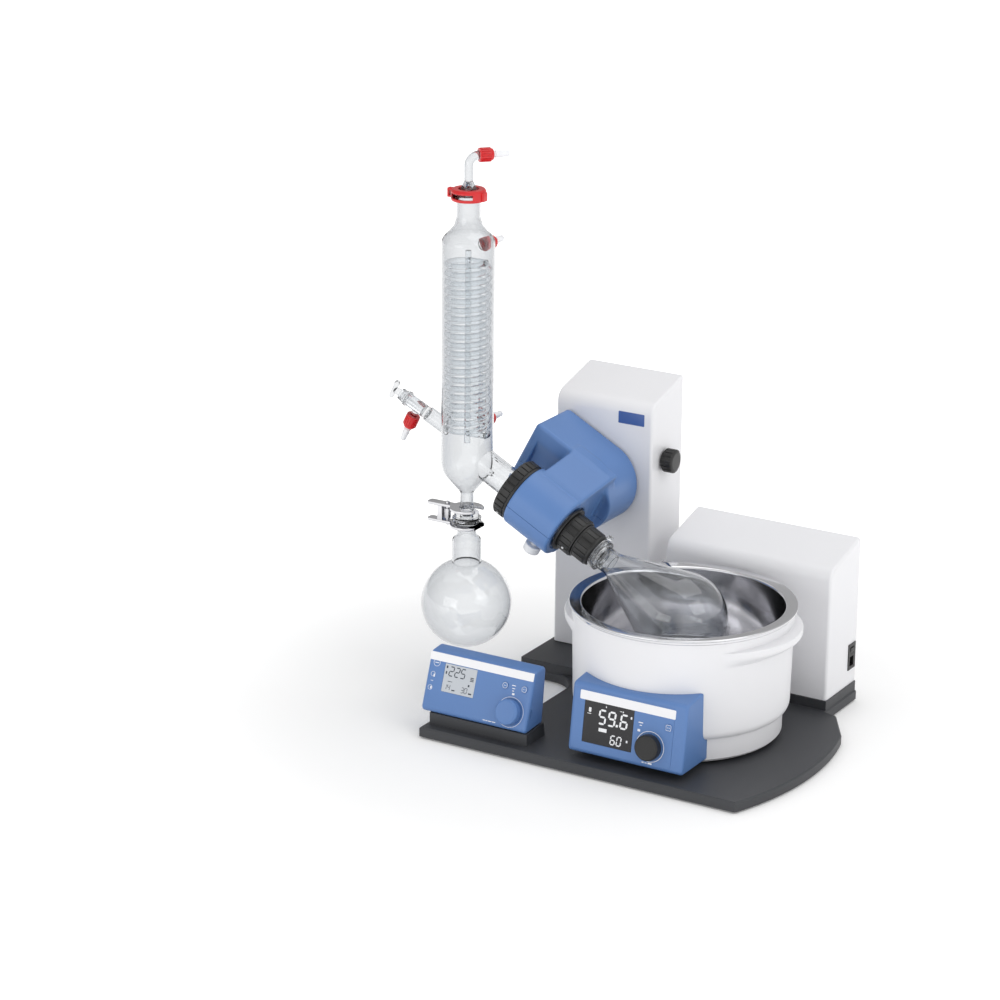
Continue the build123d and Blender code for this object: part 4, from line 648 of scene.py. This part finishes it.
# Heating bath
bowl_line = rounded([(0, 68.6), (131, 68.6), (138.4, 96), (138.4, 191.5), (150.4, 191.5), (150.4, 196.2),
                     (154.6, 196.2), (154.6, 199.6), (137, 198.2), (137, 96), (130, 70), (0, 70)],
                    [0, 24, 10, 2, 1, 0.4, 1.5, 1.5, 3.5, 10, 22, 0])
bowl = piece("bath_bowl_steel", *lathe(bowl_line, 192, False), "bath", BRIGHT, "steel", BATH, 40)
beak = [(145.5, -17), (149, -16), (158, -7.5), (165.5, -3), (167.6, 0), (165.5, 3), (158, 7.5), (149, 16), (145.5, 17)]
beak = tool(*prism(beak, 196, 199.4, 0.6), BATH @ Matrix.Rotation(math.radians(128), 4, "Z"))
cut(bowl, beak, "UNION")
finish_piece(bowl, "bath", BRIGHT, 40)
groove = [(131, -9), (160, -2.4), (162, 0), (160, 2.4), (131, 9)]
cut(bowl, tool(*prism(groove, 197.4, 203), BATH @ Matrix.Rotation(math.radians(128), 4, "Z")))
finish_piece(bowl, "bath", BRIGHT, 40)
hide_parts("bath_bowl")


def housing_radius(z):
    """Outer radius of the white bath housing at a height."""
    if z < 66:
        t = min(1, max(0, (z - 54) / 12))
        return 138 + 9.5 * (1 - (1 - t) ** 2) ** 0.5
    return 147.5 + 2.5 * (z - 66) / 126


def housing_mesh():
    rows = [54 + 12 * (1 - math.cos(math.pi / 2 * k / 8)) for k in range(9)] + [72 + 6 * k for k in range(13)]
    rows += [150, 154, 157] + [159 + 0.9 * k for k in range(20)] + [176.5, 177.3, 177.8, 178.0]
    steps = 240
    verts, faces = [], []

    def lug(t):
        """Reach of the crescent grip past the body at an angle."""
        x, y = abs(math.cos(t)), math.sin(t)
        c = 150 + 17 - 118
        d = c * x + math.sqrt(max(0.0, (c * x) ** 2 - c * c + 118 * 118))
        return d

    profile = []
    for z in rows:
        share = max(0.0, min(1.0, (z - 157.5) / 13.5))
        ease = 1 - (1 - share) ** 2
        edge = 0.0 if z < 176 else 1.5 * (1 - math.sqrt(max(0, 1 - ((z - 176) / 2) ** 2)))
        profile.append((z, ease, edge))
    layers = []
    for z, ease, edge in profile:
        layer = []
        for i in range(steps):
            t = 2 * math.pi * i / steps
            r0 = housing_radius(z)
            extra = max(0.0, lug(t) - 150.0)
            grow = extra * ease
            grow = grow - min(edge, grow)
            layer.append((r0 + grow, z))
        layers.append(layer)
    for z in (178.0, 179.0, 185, 191.4):
        fillet = {178.0: 2.2, 179.0: 0.6}.get(z, 0)
        layer = []
        for i in range(steps):
            t = 2 * math.pi * i / steps
            extra = max(0.0, lug(t) - 150.0)
            layer.append((housing_radius(z) + min(fillet, extra), z + (0.15 if z == 178.0 else 0)))
        layers.append(layer)
    layers.append([(148.8, 192.0)] * steps)
    layers.append([(147.2, 192.0)] * steps)
    layers.append([(146.8, 180.0)] * steps)
    layers.append([(144.6, 66.0)] * steps)
    layers.append([(135.2, 56.5)] * steps)
    layers.append([(135.2, 54.0)] * steps)
    for layer in layers:
        for i, (r, z) in enumerate(layer):
            t = 2 * math.pi * i / steps
            verts.append((r * math.cos(t), r * math.sin(t), z))
    n = len(layers)
    for k in range(n):
        m = (k + 1) % n
        for i in range(steps):
            j = (i + 1) % steps
            faces.append((k * steps + i, k * steps + j, m * steps + j, m * steps + i))
    return verts, faces


housing = piece("bath_housing_white", *housing_mesh(), "bath", WHITE, "white_casing", BATH, 38)
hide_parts("bath_housing")


# Consoles
def console_frame(x0, foot, top):
    """Matrix of a console's sloping face: X across, Y up the face, Z out of it."""
    rise = Vector((0, top[0] - foot[0], top[1] - foot[1])).normalized()
    out = Vector((1, 0, 0)).cross(rise)
    return basis(Vector((x0, *foot)), Vector((1, 0, 0)), rise, out)


ACROSS = Matrix(((0, 0, 1, 0), (1, 0, 0, 0), (0, 1, 0, 0), (0, 0, 0, 1)))


def wedge(name, x0, x1, section, radii, body, soft):
    """A console's casing: its section with rounded corners, its ends eased."""
    outline = [tuple(p) for p in rounded(section, radii)]
    return piece(name, *prism(outline, x0, x1, soft, 6), body, BLUE, "blue_casing", ACROSS, 40)


SEGMENTS = {"0": "abcdef", "1": "bc", "2": "abged", "3": "abgcd", "4": "fgbc", "5": "afgcd", "6": "afgedc",
            "7": "abc", "8": "abcdefg", "9": "abcdfg"}


def figures(text, x, y, size, thick, lean=0.0, high=0.12):
    """Seven-segment figures as flat bars, lower left corner at (x, y)."""
    shapes = []
    w, h, t, g = size * 0.5, size, thick, 0.18 * thick
    for char in text:
        if char == ".":
            shapes.append([(x - t * 0.9, y), (x + t * 0.4, y), (x + t * 0.4, y + t * 1.3), (x - t * 0.9, y + t * 1.3)])
            x += t * 1.6
            continue
        bars = {"a": (x, y + h, 0), "d": (x, y, 0), "g": (x, y + h / 2, 0), "f": (x, y + h / 2, 1),
                "e": (x, y, 1), "b": (x + w, y + h / 2, 1), "c": (x + w, y, 1)}
        for key in SEGMENTS[char]:
            ax, ay, up = bars[key]
            k = t / 2
            if up:
                by = ay + h / 2
                shapes.append([(ax, ay + g), (ax + k, ay + k + g), (ax + k, by - k - g), (ax, by - g),
                               (ax - k, by - k - g), (ax - k, ay + k + g)])
            else:
                bx = ax + w
                shapes.append([(ax + g, ay), (ax + k + g, ay - k), (bx - k - g, ay - k), (bx - g, ay),
                               (bx - k - g, ay + k), (ax + k + g, ay + k)])
        x += w + t * 1.9
    return [prism([(px + lean * (py - y), py) for px, py in s], 0, high) for s in shapes]


def bar(x0, x1, y0, y1, r=0.6, high=0.2):
    return prism([tuple(p) for p in rounded([(x0, y0), (x1, y0), (x1, y1), (x0, y1)], r)], 0, high)


def band(x, y, outer, inner, high=0.2, steps=64):
    """A flat printed ring."""
    v, f = lathe([(inner, 0), (outer, 0), (outer, high), (inner, high)], steps)
    return v, f, Matrix.Translation((x, y, 0))


def frame_line(x0, x1, y0, y1, r, wide, high=0.2):
    """A printed outline with rounded corners."""
    a = [tuple(p) for p in rounded([(x0, y0), (x1, y0), (x1, y1), (x0, y1)], r)]
    b = [tuple(p) for p in rounded([(x0 + wide, y0 + wide), (x1 - wide, y0 + wide), (x1 - wide, y1 - wide),
                                    (x0 + wide, y1 - wide)], max(0.1, r - wide))]
    n = len(a)
    verts = [(*p, 0) for p in a] + [(*p, 0) for p in b] + [(*p, high) for p in a] + [(*p, high) for p in b]
    faces = []
    for i in range(n):
        j = (i + 1) % n
        faces += [(i, j, n + j, n + i), (2 * n + i, 2 * n + j, 3 * n + j, 3 * n + i), (i, j, 2 * n + j, 2 * n + i),
                  (n + i, n + j, 3 * n + j, 3 * n + i)]
    return verts, faces


def printed(name, shapes, body, mat, slot, at, lift=0.0):
    """Flat marks laid on a console's face, lifted just clear of it."""
    return piece(name, *joined(*shapes), body, mat, slot, at @ Matrix.Translation((0, 0, lift + 0.02)), 40)


def console_knob(name, at, x, y, mat, slot, body, node_name):
    """A turning knob: a round cap with a fine edge, a waist and a shallow dished face."""
    line = rounded([(0, 12.7), (13.6, 12.7), (14.8, 13.0), (17.0, 12.0), (17.6, 9.6), (17.6, 2.2), (16.6, 0.4),
                    (0, 0.4)], [0, 3, 1.2, 2.0, 1.5, 1.0, 0.6, 0])
    obj = piece(name, *lathe(line, 96), body, mat, slot, at @ Matrix.Translation((x, y, 0)), 50)
    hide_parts(node_name)
    return obj


def key_cap(name, at, x, y, body, node_name, square=False):
    """A membrane key: a low cap with a printed outline and a small mark."""
    r = 4.55
    cap = rounded([(-r, -r), (r, -r), (r, r), (-r, r)], 2.0) if square else arc(0, 0, r, 0, 352, 44)
    here = at @ Matrix.Translation((x, y, 0))
    obj = piece(name, *prism([tuple(p) for p in cap], -5.2, 1.2, 0.5), body, BLUE, "blue_casing", here, 40)
    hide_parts(node_name)
    mark = [band(0, 0, 3.9, 3.45, 0.06, 48)] if not square else [frame_line(-3.9, 3.9, -3.9, 3.9, 1.4, 0.4, 0.06)]
    mark += [bar(-1.9, -0.3, -0.35, 0.35, 0.2, 0.06), bar(0.5, 1.9, -0.35, 0.35, 0.2, 0.06)]
    printed(name + "_mark", mark, body, STRIPE, "pale_plastic", here, 1.2)
    return obj


DRIVE_FACE = console_frame(-256.0, (-208.0, 33.0), (-179.0, 114.0))
drive_case = wedge("drive_console_case", -256.0, -91.0,
                   [(-208.0, 33.0), (-179.0, 114.0), (-150.0, 116.5), (-159.0, 36.0)], [6, 7, 7, 5], "base", 4.0)
cut(drive_case, tool(*bar(26, 77, 33.5, 72.5, 1.2, 6), DRIVE_FACE @ Matrix.Translation((0, 0, -1.0))))
cut(drive_case, tool(*lathe([(16.9, -0.6), (18.9, -0.6), (18.9, 3), (16.9, 3)], 96),
                     DRIVE_FACE @ Matrix.Translation((137, 27, 0))))
for x, y in ((123, 61), (153, 61)):
    cut(drive_case, tool(*plain(4.8, -1.2, 3), DRIVE_FACE @ Matrix.Translation((x, y, 0))))
cut(drive_case, tool(*bar(-1.2, 1.2, 0, 13.5, 1.1, 8), basis(Vector((-95.0, -193.2, 52.0)), Vector((0, 1, 0)),
                                                             Vector((0, 0.34, 0.94)), Vector((1, 0, 0)))))
finish_piece(drive_case, "base", BLUE, 40)
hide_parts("drive_case")

drive_glass = piece("drive_console_lcd", *bar(26.3, 76.7, 33.8, 72.2, 1.0, 1.2), "base", LCD, "pale_plastic",
                    DRIVE_FACE @ Matrix.Translation((0, 0, -1.4)), 40)
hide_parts("drive_window")
INK = grain(material("lcd_ink", (0.03, 0.04, 0.06), 0.35), 900, 0.3, 0.4, 0.0, 0.05)
printed("drive_console_figures",
        figures("225", 33.5, 56.5, 12.5, 1.5, 0.12, 0.05) + figures("14", 29.5, 37.3, 7.2, 0.8, 0.12, 0.05)
        + figures("30", 56.5, 37.3, 7.2, 0.8, 0.12, 0.05)
        + [bar(68, 73.4, 57, 58.3, 0.1, 0.05), bar(68, 73.4, 59.1, 60.4, 0.1, 0.05), bar(68, 73.4, 55, 56.2, 0.1, 0.05),
           bar(42, 47, 37, 38.6, 0.1, 0.05), bar(68.5, 73.5, 37, 39, 0.1, 0.05), bar(28.5, 31, 66, 69.5, 0.2, 0.05),
           bar(28.5, 30.6, 58, 62, 0.2, 0.05), bar(34, 41, 48.4, 49.2, 0.1, 0.05), bar(66, 68.5, 47, 50, 0.1, 0.05)],
        "base", INK, "dark_window", DRIVE_FACE, -0.2)
printed("drive_console_stripe", [bar(1.0, 163.8, 73.4, 84.6, 0.4, 0.12)], "base", STRIPE, "pale_plastic", DRIVE_FACE)
printed("drive_console_marks",
        [band(137, 27, 20.7, 20.2), bar(133, 139, 62.5, 63.6), bar(134, 138.5, 58.6, 59.6), bar(134.6, 137.6, 55.2, 56.3),
         bar(135.2, 139, 50.2, 53.0, 0.5), band(12.6, 70.4, 5.1, 4.6), bar(9.6, 15.6, 70.0, 70.9, 0.3),
         band(9.6, 54.4, 3.4, 3.0), bar(10.6, 12.9, 50.6, 54.6, 0.3), bar(7.6, 11.6, 44.8, 45.4, 0.2),
         band(8.6, 35.6, 3.4, 3.0), bar(9.0, 11.0, 33.8, 37.4, 0.3), bar(98, 101.5, 8.2, 9.2, 0.2),
         bar(102.4, 105.6, 8.2, 9.2, 0.2), bar(106.6, 112, 8.2, 9.2, 0.2), bar(113, 118, 8.2, 9.2, 0.2)],
        "base", STRIPE, "pale_plastic", DRIVE_FACE)
console_knob("drive_console_knob", DRIVE_FACE, 137, 27, BLUE, "blue_casing", "drive_knob", "drive_knob")
key_cap("drive_console_key_1", DRIVE_FACE, 123, 61, "drive_key_1", "drive_key_1")
key_cap("drive_console_key_2", DRIVE_FACE, 153, 61, "drive_key_2", "drive_key_2")

BATH_FACE = console_frame(-27.3, (-203.0, 25.0), (-189.0, 120.0))
bath_case = wedge("bath_console_case", -27.3, 144.7,
                  [(-203.0, 25.0), (-189.0, 120.0), (-112.0, 128.0), (-112.0, 25.0)], [6, 8, 0, 0], "bath", 4.0)
body_line = [(0, 20), (138.4, 20), (138.4, 54), (142, 55.5), (145.6, 59.5), (147.9, 66), (150.4, 192), (0, 192)]
cut(bath_case, tool(*lathe(body_line, 240), BATH))
cut(bath_case, tool(*bar(20, 95, 17, 76, 1.0, 6), BATH_FACE @ Matrix.Translation((0, 0, -1.0))))
cut(bath_case, tool(*lathe([(16.9, -0.6), (18.9, -0.6), (18.9, 3), (16.9, 3)], 96),
                    BATH_FACE @ Matrix.Translation((122, 31, 0))))
cut(bath_case, tool(*plain(4.8, -1.2, 3), BATH_FACE @ Matrix.Translation((147, 62, 0))))
cut(bath_case, tool(*frame_line(3.0, 154.6, 6.0, 89.5, 6.0, 0.45, 1.4), BATH_FACE @ Matrix.Translation((0, 0, -0.45))))
cut(bath_case, tool(*bar(-1.2, 1.2, 0, 14.0, 1.1, 8), basis(Vector((140.6, -200.0, 88.8)), Vector((0, 1, 0)),
                                                            Vector((0, 0.15, 0.99)), Vector((1, 0, 0)))))
finish_piece(bath_case, "bath", BLUE, 40)
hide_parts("bath_case")
bath_glass = piece("bath_console_display", *bar(20.3, 94.7, 17.3, 75.7, 0.8, 1.2), "bath", SCREEN, "dark_window",
                   BATH_FACE @ Matrix.Translation((0, 0, -1.3)), 40)
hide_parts("bath_window")
GLOW = material("display_white", (0.85, 0.86, 0.88), 0.4)
printed("bath_console_figures",
        figures("59.6", 42.5, 46.5, 18.5, 2.6, 0.10, 0.05) + figures("60", 62.5, 21.8, 12.0, 1.7, 0.10, 0.05)
        + [bar(44.0, 56.0, 35.8, 40.6, 0.4, 0.05), bar(52.0, 53.4, 69.4, 71.4, 0.2, 0.05),
           bar(73.5, 76.4, 68.4, 69.2, 0.1, 0.05), bar(77.4, 79.0, 67.6, 69.6, 0.2, 0.05),
           bar(90.0, 92.2, 61.5, 64.8, 0.2, 0.05), bar(86.0, 88.4, 28.5, 31.6, 0.2, 0.05),
           bar(25.0, 31.0, 56.8, 57.6, 0.1, 0.05), bar(27.0, 30.6, 59.5, 65.5, 0.8, 0.05)],
        "bath", GLOW, "pale_plastic", BATH_FACE, -0.1)
printed("bath_console_stripe", [bar(12.4, 155.6, 74.6, 87.0, 1.6, 0.12)], "bath", STRIPE, "pale_plastic", BATH_FACE)
printed("bath_console_marks",
        [band(122, 31, 20.9, 20.2), bar(102, 109, 60.0, 61.2), bar(104, 107.5, 56.4, 57.4), bar(101.6, 105.6, 48.2, 51.4, 0.5),
         bar(112, 115, 7.6, 9.0, 0.3), bar(116.5, 119.5, 7.6, 8.6, 0.2), bar(121, 127, 7.2, 9.2, 0.3)],
        "bath", STRIPE, "pale_plastic", BATH_FACE)
console_knob("bath_console_knob", BATH_FACE, 122, 31, BLACK, "black_plastic", "bath_knob", "bath_knob")
key_cap("bath_console_key", BATH_FACE, 147, 62, "bath_key_1", "bath_key_1", True)

# Red and pale fittings
def screw_cap():
    """A ribbed red cap with a bevelled mouth, upright."""
    body = prism(ribbed(9.9, 0.8, 18, 0.62), 1.8, 16.0, 0.4)
    skin = lathe(rounded([(4.4, 0), (9.7, 0), (9.7, 2.0), (9.1, 2.4), (9.1, 15.8), (7.4, 20), (4.4, 20)],
                         [0, 0.5, 0.4, 0.2, 1.4, 2.0, 0.3]), 64)
    return joined(body, skin)


def barb_shape():
    """A pale hose barb with two teeth and a bore."""
    line = [(2.4, 0), (4.2, 0), (4.2, 15), (5.0, 15.2), (4.2, 20), (5.0, 22.2), (4.2, 27), (4.2, 33.2), (3.6, 34), (2.4, 34)]
    return lathe(line, 48)


ports = [spoke(88, 0, z, 42.5) for z in PORTS] + [
    ELBOW @ Matrix.Translation((BEND_R, 0, BEND_Z + BEND_R)) @ Matrix.Rotation(math.radians(90), 4, "Y"),
    side_port @ Matrix.Translation((0, 0, 16))]
red = joined(*[(*screw_cap(), at) for at in ports])
red = piece("red_screw_caps", *red, "head", RED, "red_plastic", sharp=30)
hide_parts("screw_caps")
pale = piece("hose_barb_set", *joined(*[(*barb_shape(), at @ Matrix.Translation((0, 0, 8))) for at in ports]), "head",
             PALE, "pale_plastic", sharp=40)
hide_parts("hose_barbs")

# Red clamp round the condenser's top joint: a slotted band with a handle loop and a hinge block
clip_line = rounded([(16.9, SEAT - 7), (23.4, SEAT - 7), (24, SEAT - 5), (24, SEAT + 6), (22, SEAT + 9), (14.2, SEAT + 9),
                     (14.2, SEAT + 6.2), (20.9, SEAT + 6), (20.9, SEAT - 5.3), (16.9, SEAT - 5.3)],
                    [0, 1.2, 0.5, 1.5, 1.5, 0.3, 0.3, 0.4, 0.4, 0])
clip = piece("red_joint_clip", *lathe(clip_line, 96), "head", RED, "red_plastic", COND, 32)
slot = prism([tuple(p) for p in rounded([(-16.8, -25), (16.8, -25), (16.8, -12), (-16.8, -12)], 1.0)], SEAT - 3, SEAT + 4)
cut(clip, tool(*slot, COND))
for x0, y0, z0, x1, y1, z1 in [(-32, -4, SEAT - 6, -23, 4, SEAT + 7), (22, -5, SEAT - 6, 27, 5, SEAT + 6)]:
    lump = prism([tuple(p) for p in rounded([(x0, y0), (x1, y0), (x1, y1), (x0, y1)], 1.2)], z0, z1, 0.8)
    cut(clip, tool(*lump, COND), "UNION")
cut(clip, tool(*prism([(-29, -5), (-25, -5), (-25, 5), (-29, 5)], SEAT - 3, SEAT + 4), COND))
finish_piece(clip, "head", RED, 32)
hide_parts("elbow_clip")

# Stopcock plug with its T-handle
handle = [(x, 0, 132.5) for x in (-14, -13.2, -10, -6, 0, 6, 10, 13.2, 14)]
stem = rounded([(0, 78.5), (5.35, 78.5), (5.5, VALVE_END), (5.5, 124), (4.2, 132), (0, 132)], [0, 1, 0.4, 2, 2, 0])
ferrule = rounded([(5.4, VALVE_END + 0.4), (8.6, VALVE_END + 0.4), (8.6, VALVE_END + 5), (5.4, VALVE_END + 5)],
                  [0, 0.6, 0.6, 0])
plug = joined(lathe(stem, 40), lathe(ferrule, 40), tube(handle, [1.6, 3.0, 4.0, 3.7, 3.5, 3.7, 4.0, 3.0, 1.6], 24))
plug = piece("stopcock_plug_glass", *plug, "stopcock", GLASS, "glass", valve, 50)
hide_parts("stopcock_plug")

# Flask clip, joint clamp and its screw
clip_line = rounded([(15.2, 94), (22, 94), (22, 105), (17.6, 105), (17.6, 102.2), (20.2, 101.8), (20.2, 96), (15.2, 96)],
                    [0.3, 0.8, 0.8, 0.4, 0.2, 0.2, 0.2, 0.3])
clear = joined(lathe(clip_line, 72),
               (*tube([(-20, 0, 100), (-31, 0, 100)], 1.9, 20), Matrix.Identity(4)),
               (*prism(ribbed(4.4, 0.5, 12, 0.6), -2, 2, 0.3),
                Matrix.Translation((-30, 0, 100)) @ Matrix.Rotation(math.radians(90), 4, "Y")))
clear = piece("flask_clip_plastic", *clear, "rotor", CLEAR, "steel", DRIVE, 40)
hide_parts("flask_clip")


def fork(slot, z0):
    """One pressed plate of the joint clamp: a long grip and a slot that opens to the right."""
    tip = math.degrees(math.acos(20 / 24))
    side = math.degrees(math.asin(6.8 / 24))
    upper = [(20, slot)] + arc(0, 0, 24, tip, 180 - side, 30)
    grip = rounded([upper[-1], (-62, 6.8), (-62, -6.8), (upper[-1][0], -6.8)], [0, 4, 4, 0], closed=False)
    mouth = arc(0, 0, slot, -90, -270, 30)
    line = upper[:-1] + [tuple(p) for p in grip] + arc(0, 0, 24, 180 + side, 360 - tip, 30)[1:] + [(20, -slot)] + mouth
    return prism(line, z0, z0 + 4, 0.8)


upper_foot, lower_top = DRIP + 8.1, DRIP - 12.1
post = prism([tuple(p) for p in rounded([(-45, -6.6), (-37, -6.6), (-37, 6.6), (-45, 6.6)], 1.0)], lower_top - 0.5,
             upper_foot + 0.5, 0.2)
jaw = piece("joint_clamp_steel", *joined(fork(10.2, upper_foot), fork(14.1, lower_top - 4)), "head", STEEL,
            "steel", COND, 30)
cut(jaw, tool(*plain(3.3, lower_top - 6, upper_foot + 6), COND @ Matrix.Translation((-31.5, 0, 0))))
cut(jaw, tool(*post, COND), "UNION")
finish_piece(jaw, "head", STEEL, 30)
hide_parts("joint_clamp")
screw_line = rounded([(0, lower_top - 7), (2.9, lower_top - 7), (2.9, upper_foot + 7), (0, upper_foot + 7)], [0, 0.8, 0.8, 0])
turn = joined(lathe(screw_line, 32), prism(ribbed(4.9, 0.5, 20, 0.6), lower_top + 3, upper_foot - 3, 0.5))
turn = piece("clamp_screw_steel", *turn, "clamp_screw", STEEL, "steel", COND @ Matrix.Translation((-31.5, 0, 0)), 40)
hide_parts("clamp_screw")

# Tilt clamp knob on the tower
knob_line = rounded([(0, 1), (13, 1), (13, 3.2), (16, 3.4), (16, 18.6), (12, 20), (0, 20)], [0, 0.5, 0.3, 0.6, 1.6, 1.2, 0])
tilt = joined(lathe(knob_line, 64), prism(ribbed(16.9, 1.1, 16, 0.62), 4.0, 18.2, 0.7),
              lathe(rounded([(0, -24), (3.9, -24), (3.9, 1.4), (0, 1.4)], [0, 0.6, 0, 0]), 32))
tilt = piece("tilt_clamp_knob_black", *tilt, "tilt_clamp", BLACK, "black_plastic",
             Matrix.Translation((-87.6, 165.4, 321.5)) @ Matrix.Rotation(math.radians(90), 4, "Y"), 35)
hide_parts("tilt_clamp_knob")

# Bare blue plate on the tower's front, and the lock button
plate = piece("tower_plate_blue", *prism([tuple(p) for p in rounded([(-141.3, 376.4), (-100.3, 376.4), (-100.3, 393.8),
                                                                   (-141.3, 393.8)], 1.2)], -0.1, 0.35, 0.1),
              "lift", BADGE, "blue_casing", basis(Vector((0, 129.0, 0)), Vector((1, 0, 0)), Vector((0, 0, 1)),
                                                 Vector((0, -1, 0))), 40)
button = joined(lathe(rounded([(0, -65), (10.6, -65), (12, -63.4), (12, -54), (11, -53), (0, -53)],
                              [0, 1.5, 1.2, 0.8, 0.5, 0]), 64), lathe([(0, -53), (5, -53), (5, -33), (0, -33)], 32))
button = piece("shaft_lock_button_pale", *button, "shaft_lock", PALE, "pale_plastic",
               HEAD @ Matrix.Translation((9, 0, 0)), 40)
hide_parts("shaft_lock_button")
dot("lock_ring_dot", 2.2, math.radians(-45), 43.5, -49.5, "lock_ring")
dot("clamp_ring_dot", 1.7, math.radians(-60), 28.4, 55, "rotor")

# Stage, camera and light
floor = bpy.data.meshes.new("floor")
floor.from_pydata([(-6, -6, 0), (6, -6, 0), (6, 6, 0), (-6, 6, 0)], [], [(0, 1, 2, 3)])
floor = bpy.data.objects.new("floor", floor)
bpy.context.scene.collection.objects.link(floor)
ground = material("floor", (0.90, 0.90, 0.90), 0.9)
shine = node(ground, "ShaderNodeEmission")
spot = node(ground, "ShaderNodeTexCoord")
away = node(ground, "ShaderNodeVectorMath", operation="LENGTH")
fade = node(ground, "ShaderNodeMapRange", interpolation_type="SMOOTHSTEP")
for key, value in (("From Min", 0.35), ("From Max", 1.1), ("To Min", 0.10), ("To Max", 0.6)):
    fade.inputs[key].default_value = value
lit = node(ground, "ShaderNodeAddShader")
plain_white = node(ground, "ShaderNodeEmission", Strength=1.0)
path = node(ground, "ShaderNodeLightPath")
total = node(ground, "ShaderNodeMixShader")
wire(ground, spot, "Object", away, 0)
wire(ground, away, "Value", fade, "Value")
wire(ground, fade, "Result", shine, "Strength")
wire(ground, ground.node_tree.nodes["Principled BSDF"], "BSDF", lit, 0)
wire(ground, shine, "Emission", lit, 1)
wire(ground, path, "Is Transmission Ray", total, 0)
wire(ground, lit, "Shader", total, 1)
wire(ground, plain_white, "Emission", total, 2)
wire(ground, total, "Shader", ground.node_tree.nodes["Material Output"], "Surface")
floor.data.materials.append(ground)

# World: white where the camera looks past the object, a soft studio elsewhere, brighter above and to the right
world = bpy.data.worlds.new("studio")
bpy.context.scene.world = world
world.use_nodes = True
sky = world.node_tree
back = sky.nodes["Background"]
back.inputs["Color"].default_value = (1, 1, 1, 1)
white = sky.nodes.new("ShaderNodeBackground")
white.inputs["Color"].default_value = (1, 1, 1, 1)
white.inputs["Strength"].default_value = 1.0
pick = sky.nodes.new("ShaderNodeMixShader")
rays = sky.nodes.new("ShaderNodeLightPath")
where = sky.nodes.new("ShaderNodeTexCoord")
split = sky.nodes.new("ShaderNodeSeparateXYZ")
sky.links.new(where.outputs["Generated"], split.inputs["Vector"])


def sky_ramp(axis, low, high, at_low, at_high):
    """Brightness that changes smoothly along one axis of the sky."""
    ramp = sky.nodes.new("ShaderNodeMapRange")
    ramp.interpolation_type = "SMOOTHSTEP"
    ramp.inputs["From Min"].default_value = low
    ramp.inputs["From Max"].default_value = high
    ramp.inputs["To Min"].default_value = at_low
    ramp.inputs["To Max"].default_value = at_high
    sky.links.new(split.outputs[axis], ramp.inputs["Value"])
    return ramp.outputs["Result"]


def sky_math(operation, a, b):
    n = sky.nodes.new("ShaderNodeMath")
    n.operation = operation
    sky.links.new(a, n.inputs[0])
    sky.links.new(b, n.inputs[1])
    return n.outputs["Value"]


glow = sky_math("ADD", sky_ramp("Z", 0.0, 0.9, 0.50, 0.66), sky_ramp("X", -0.6, 0.7, 0.0, 0.24))
glow = sky_math("ADD", glow, sky_ramp("Y", -0.9, 0.5, 0.12, -0.10))
sky.links.new(glow, back.inputs["Strength"])
seen = sky_math("MAXIMUM", rays.outputs["Is Camera Ray"], rays.outputs["Is Transmission Ray"])
sky.links.new(seen, pick.inputs["Fac"])
sky.links.new(back.outputs["Background"], pick.inputs[1])
sky.links.new(white.outputs["Background"], pick.inputs[2])
sky.links.new(pick.outputs["Shader"], sky.nodes["World Output"].inputs["Surface"])


def lamp(name, place, target, size, power):
    data = bpy.data.lights.new(name, "AREA")
    data.shape = "RECTANGLE"
    data.size, data.size_y = size
    data.energy = power
    obj = bpy.data.objects.new(name, data)
    obj.location = place
    obj.rotation_euler = (Vector(target) - Vector(place)).to_track_quat("-Z", "Y").to_euler()
    bpy.context.scene.collection.objects.link(obj)


lamp("key_right", (3.2, -0.6, 2.6), (0, 0, 0.25), (2.2, 2.2), 18)
lamp("top", (0.2, 0.8, 3.4), (0, 0, 0.2), (3.0, 3.0), 30)
lamp("front_left", (-0.9, -3.4, 0.9), (0, 0, 0.2), (2.4, 1.4), 15)

azimuth, elevation, roll = math.radians(30.78), math.radians(18.58), math.radians(0.51)
forward = Vector((-math.sin(azimuth) * math.cos(elevation), math.cos(azimuth) * math.cos(elevation),
                  -math.sin(elevation)))
right = Vector((math.cos(azimuth), math.sin(azimuth), 0))
upward = right.cross(forward)
right2 = right * math.cos(roll) + upward * math.sin(roll)
upward2 = upward * math.cos(roll) - right * math.sin(roll)
camera = bpy.data.cameras.new("camera")
camera.sensor_width = 36
camera.lens = 119.74
camera = bpy.data.objects.new("camera", camera)
camera.matrix_world = basis(Vector((1988.9, -3768.7, 1752.6)) * 0.001 + SHIFT, right2, upward2, -forward)
camera.data.clip_end = 50
bpy.context.scene.collection.objects.link(camera)
bpy.context.scene.camera = camera
bpy.context.scene.view_settings.view_transform = "Standard"
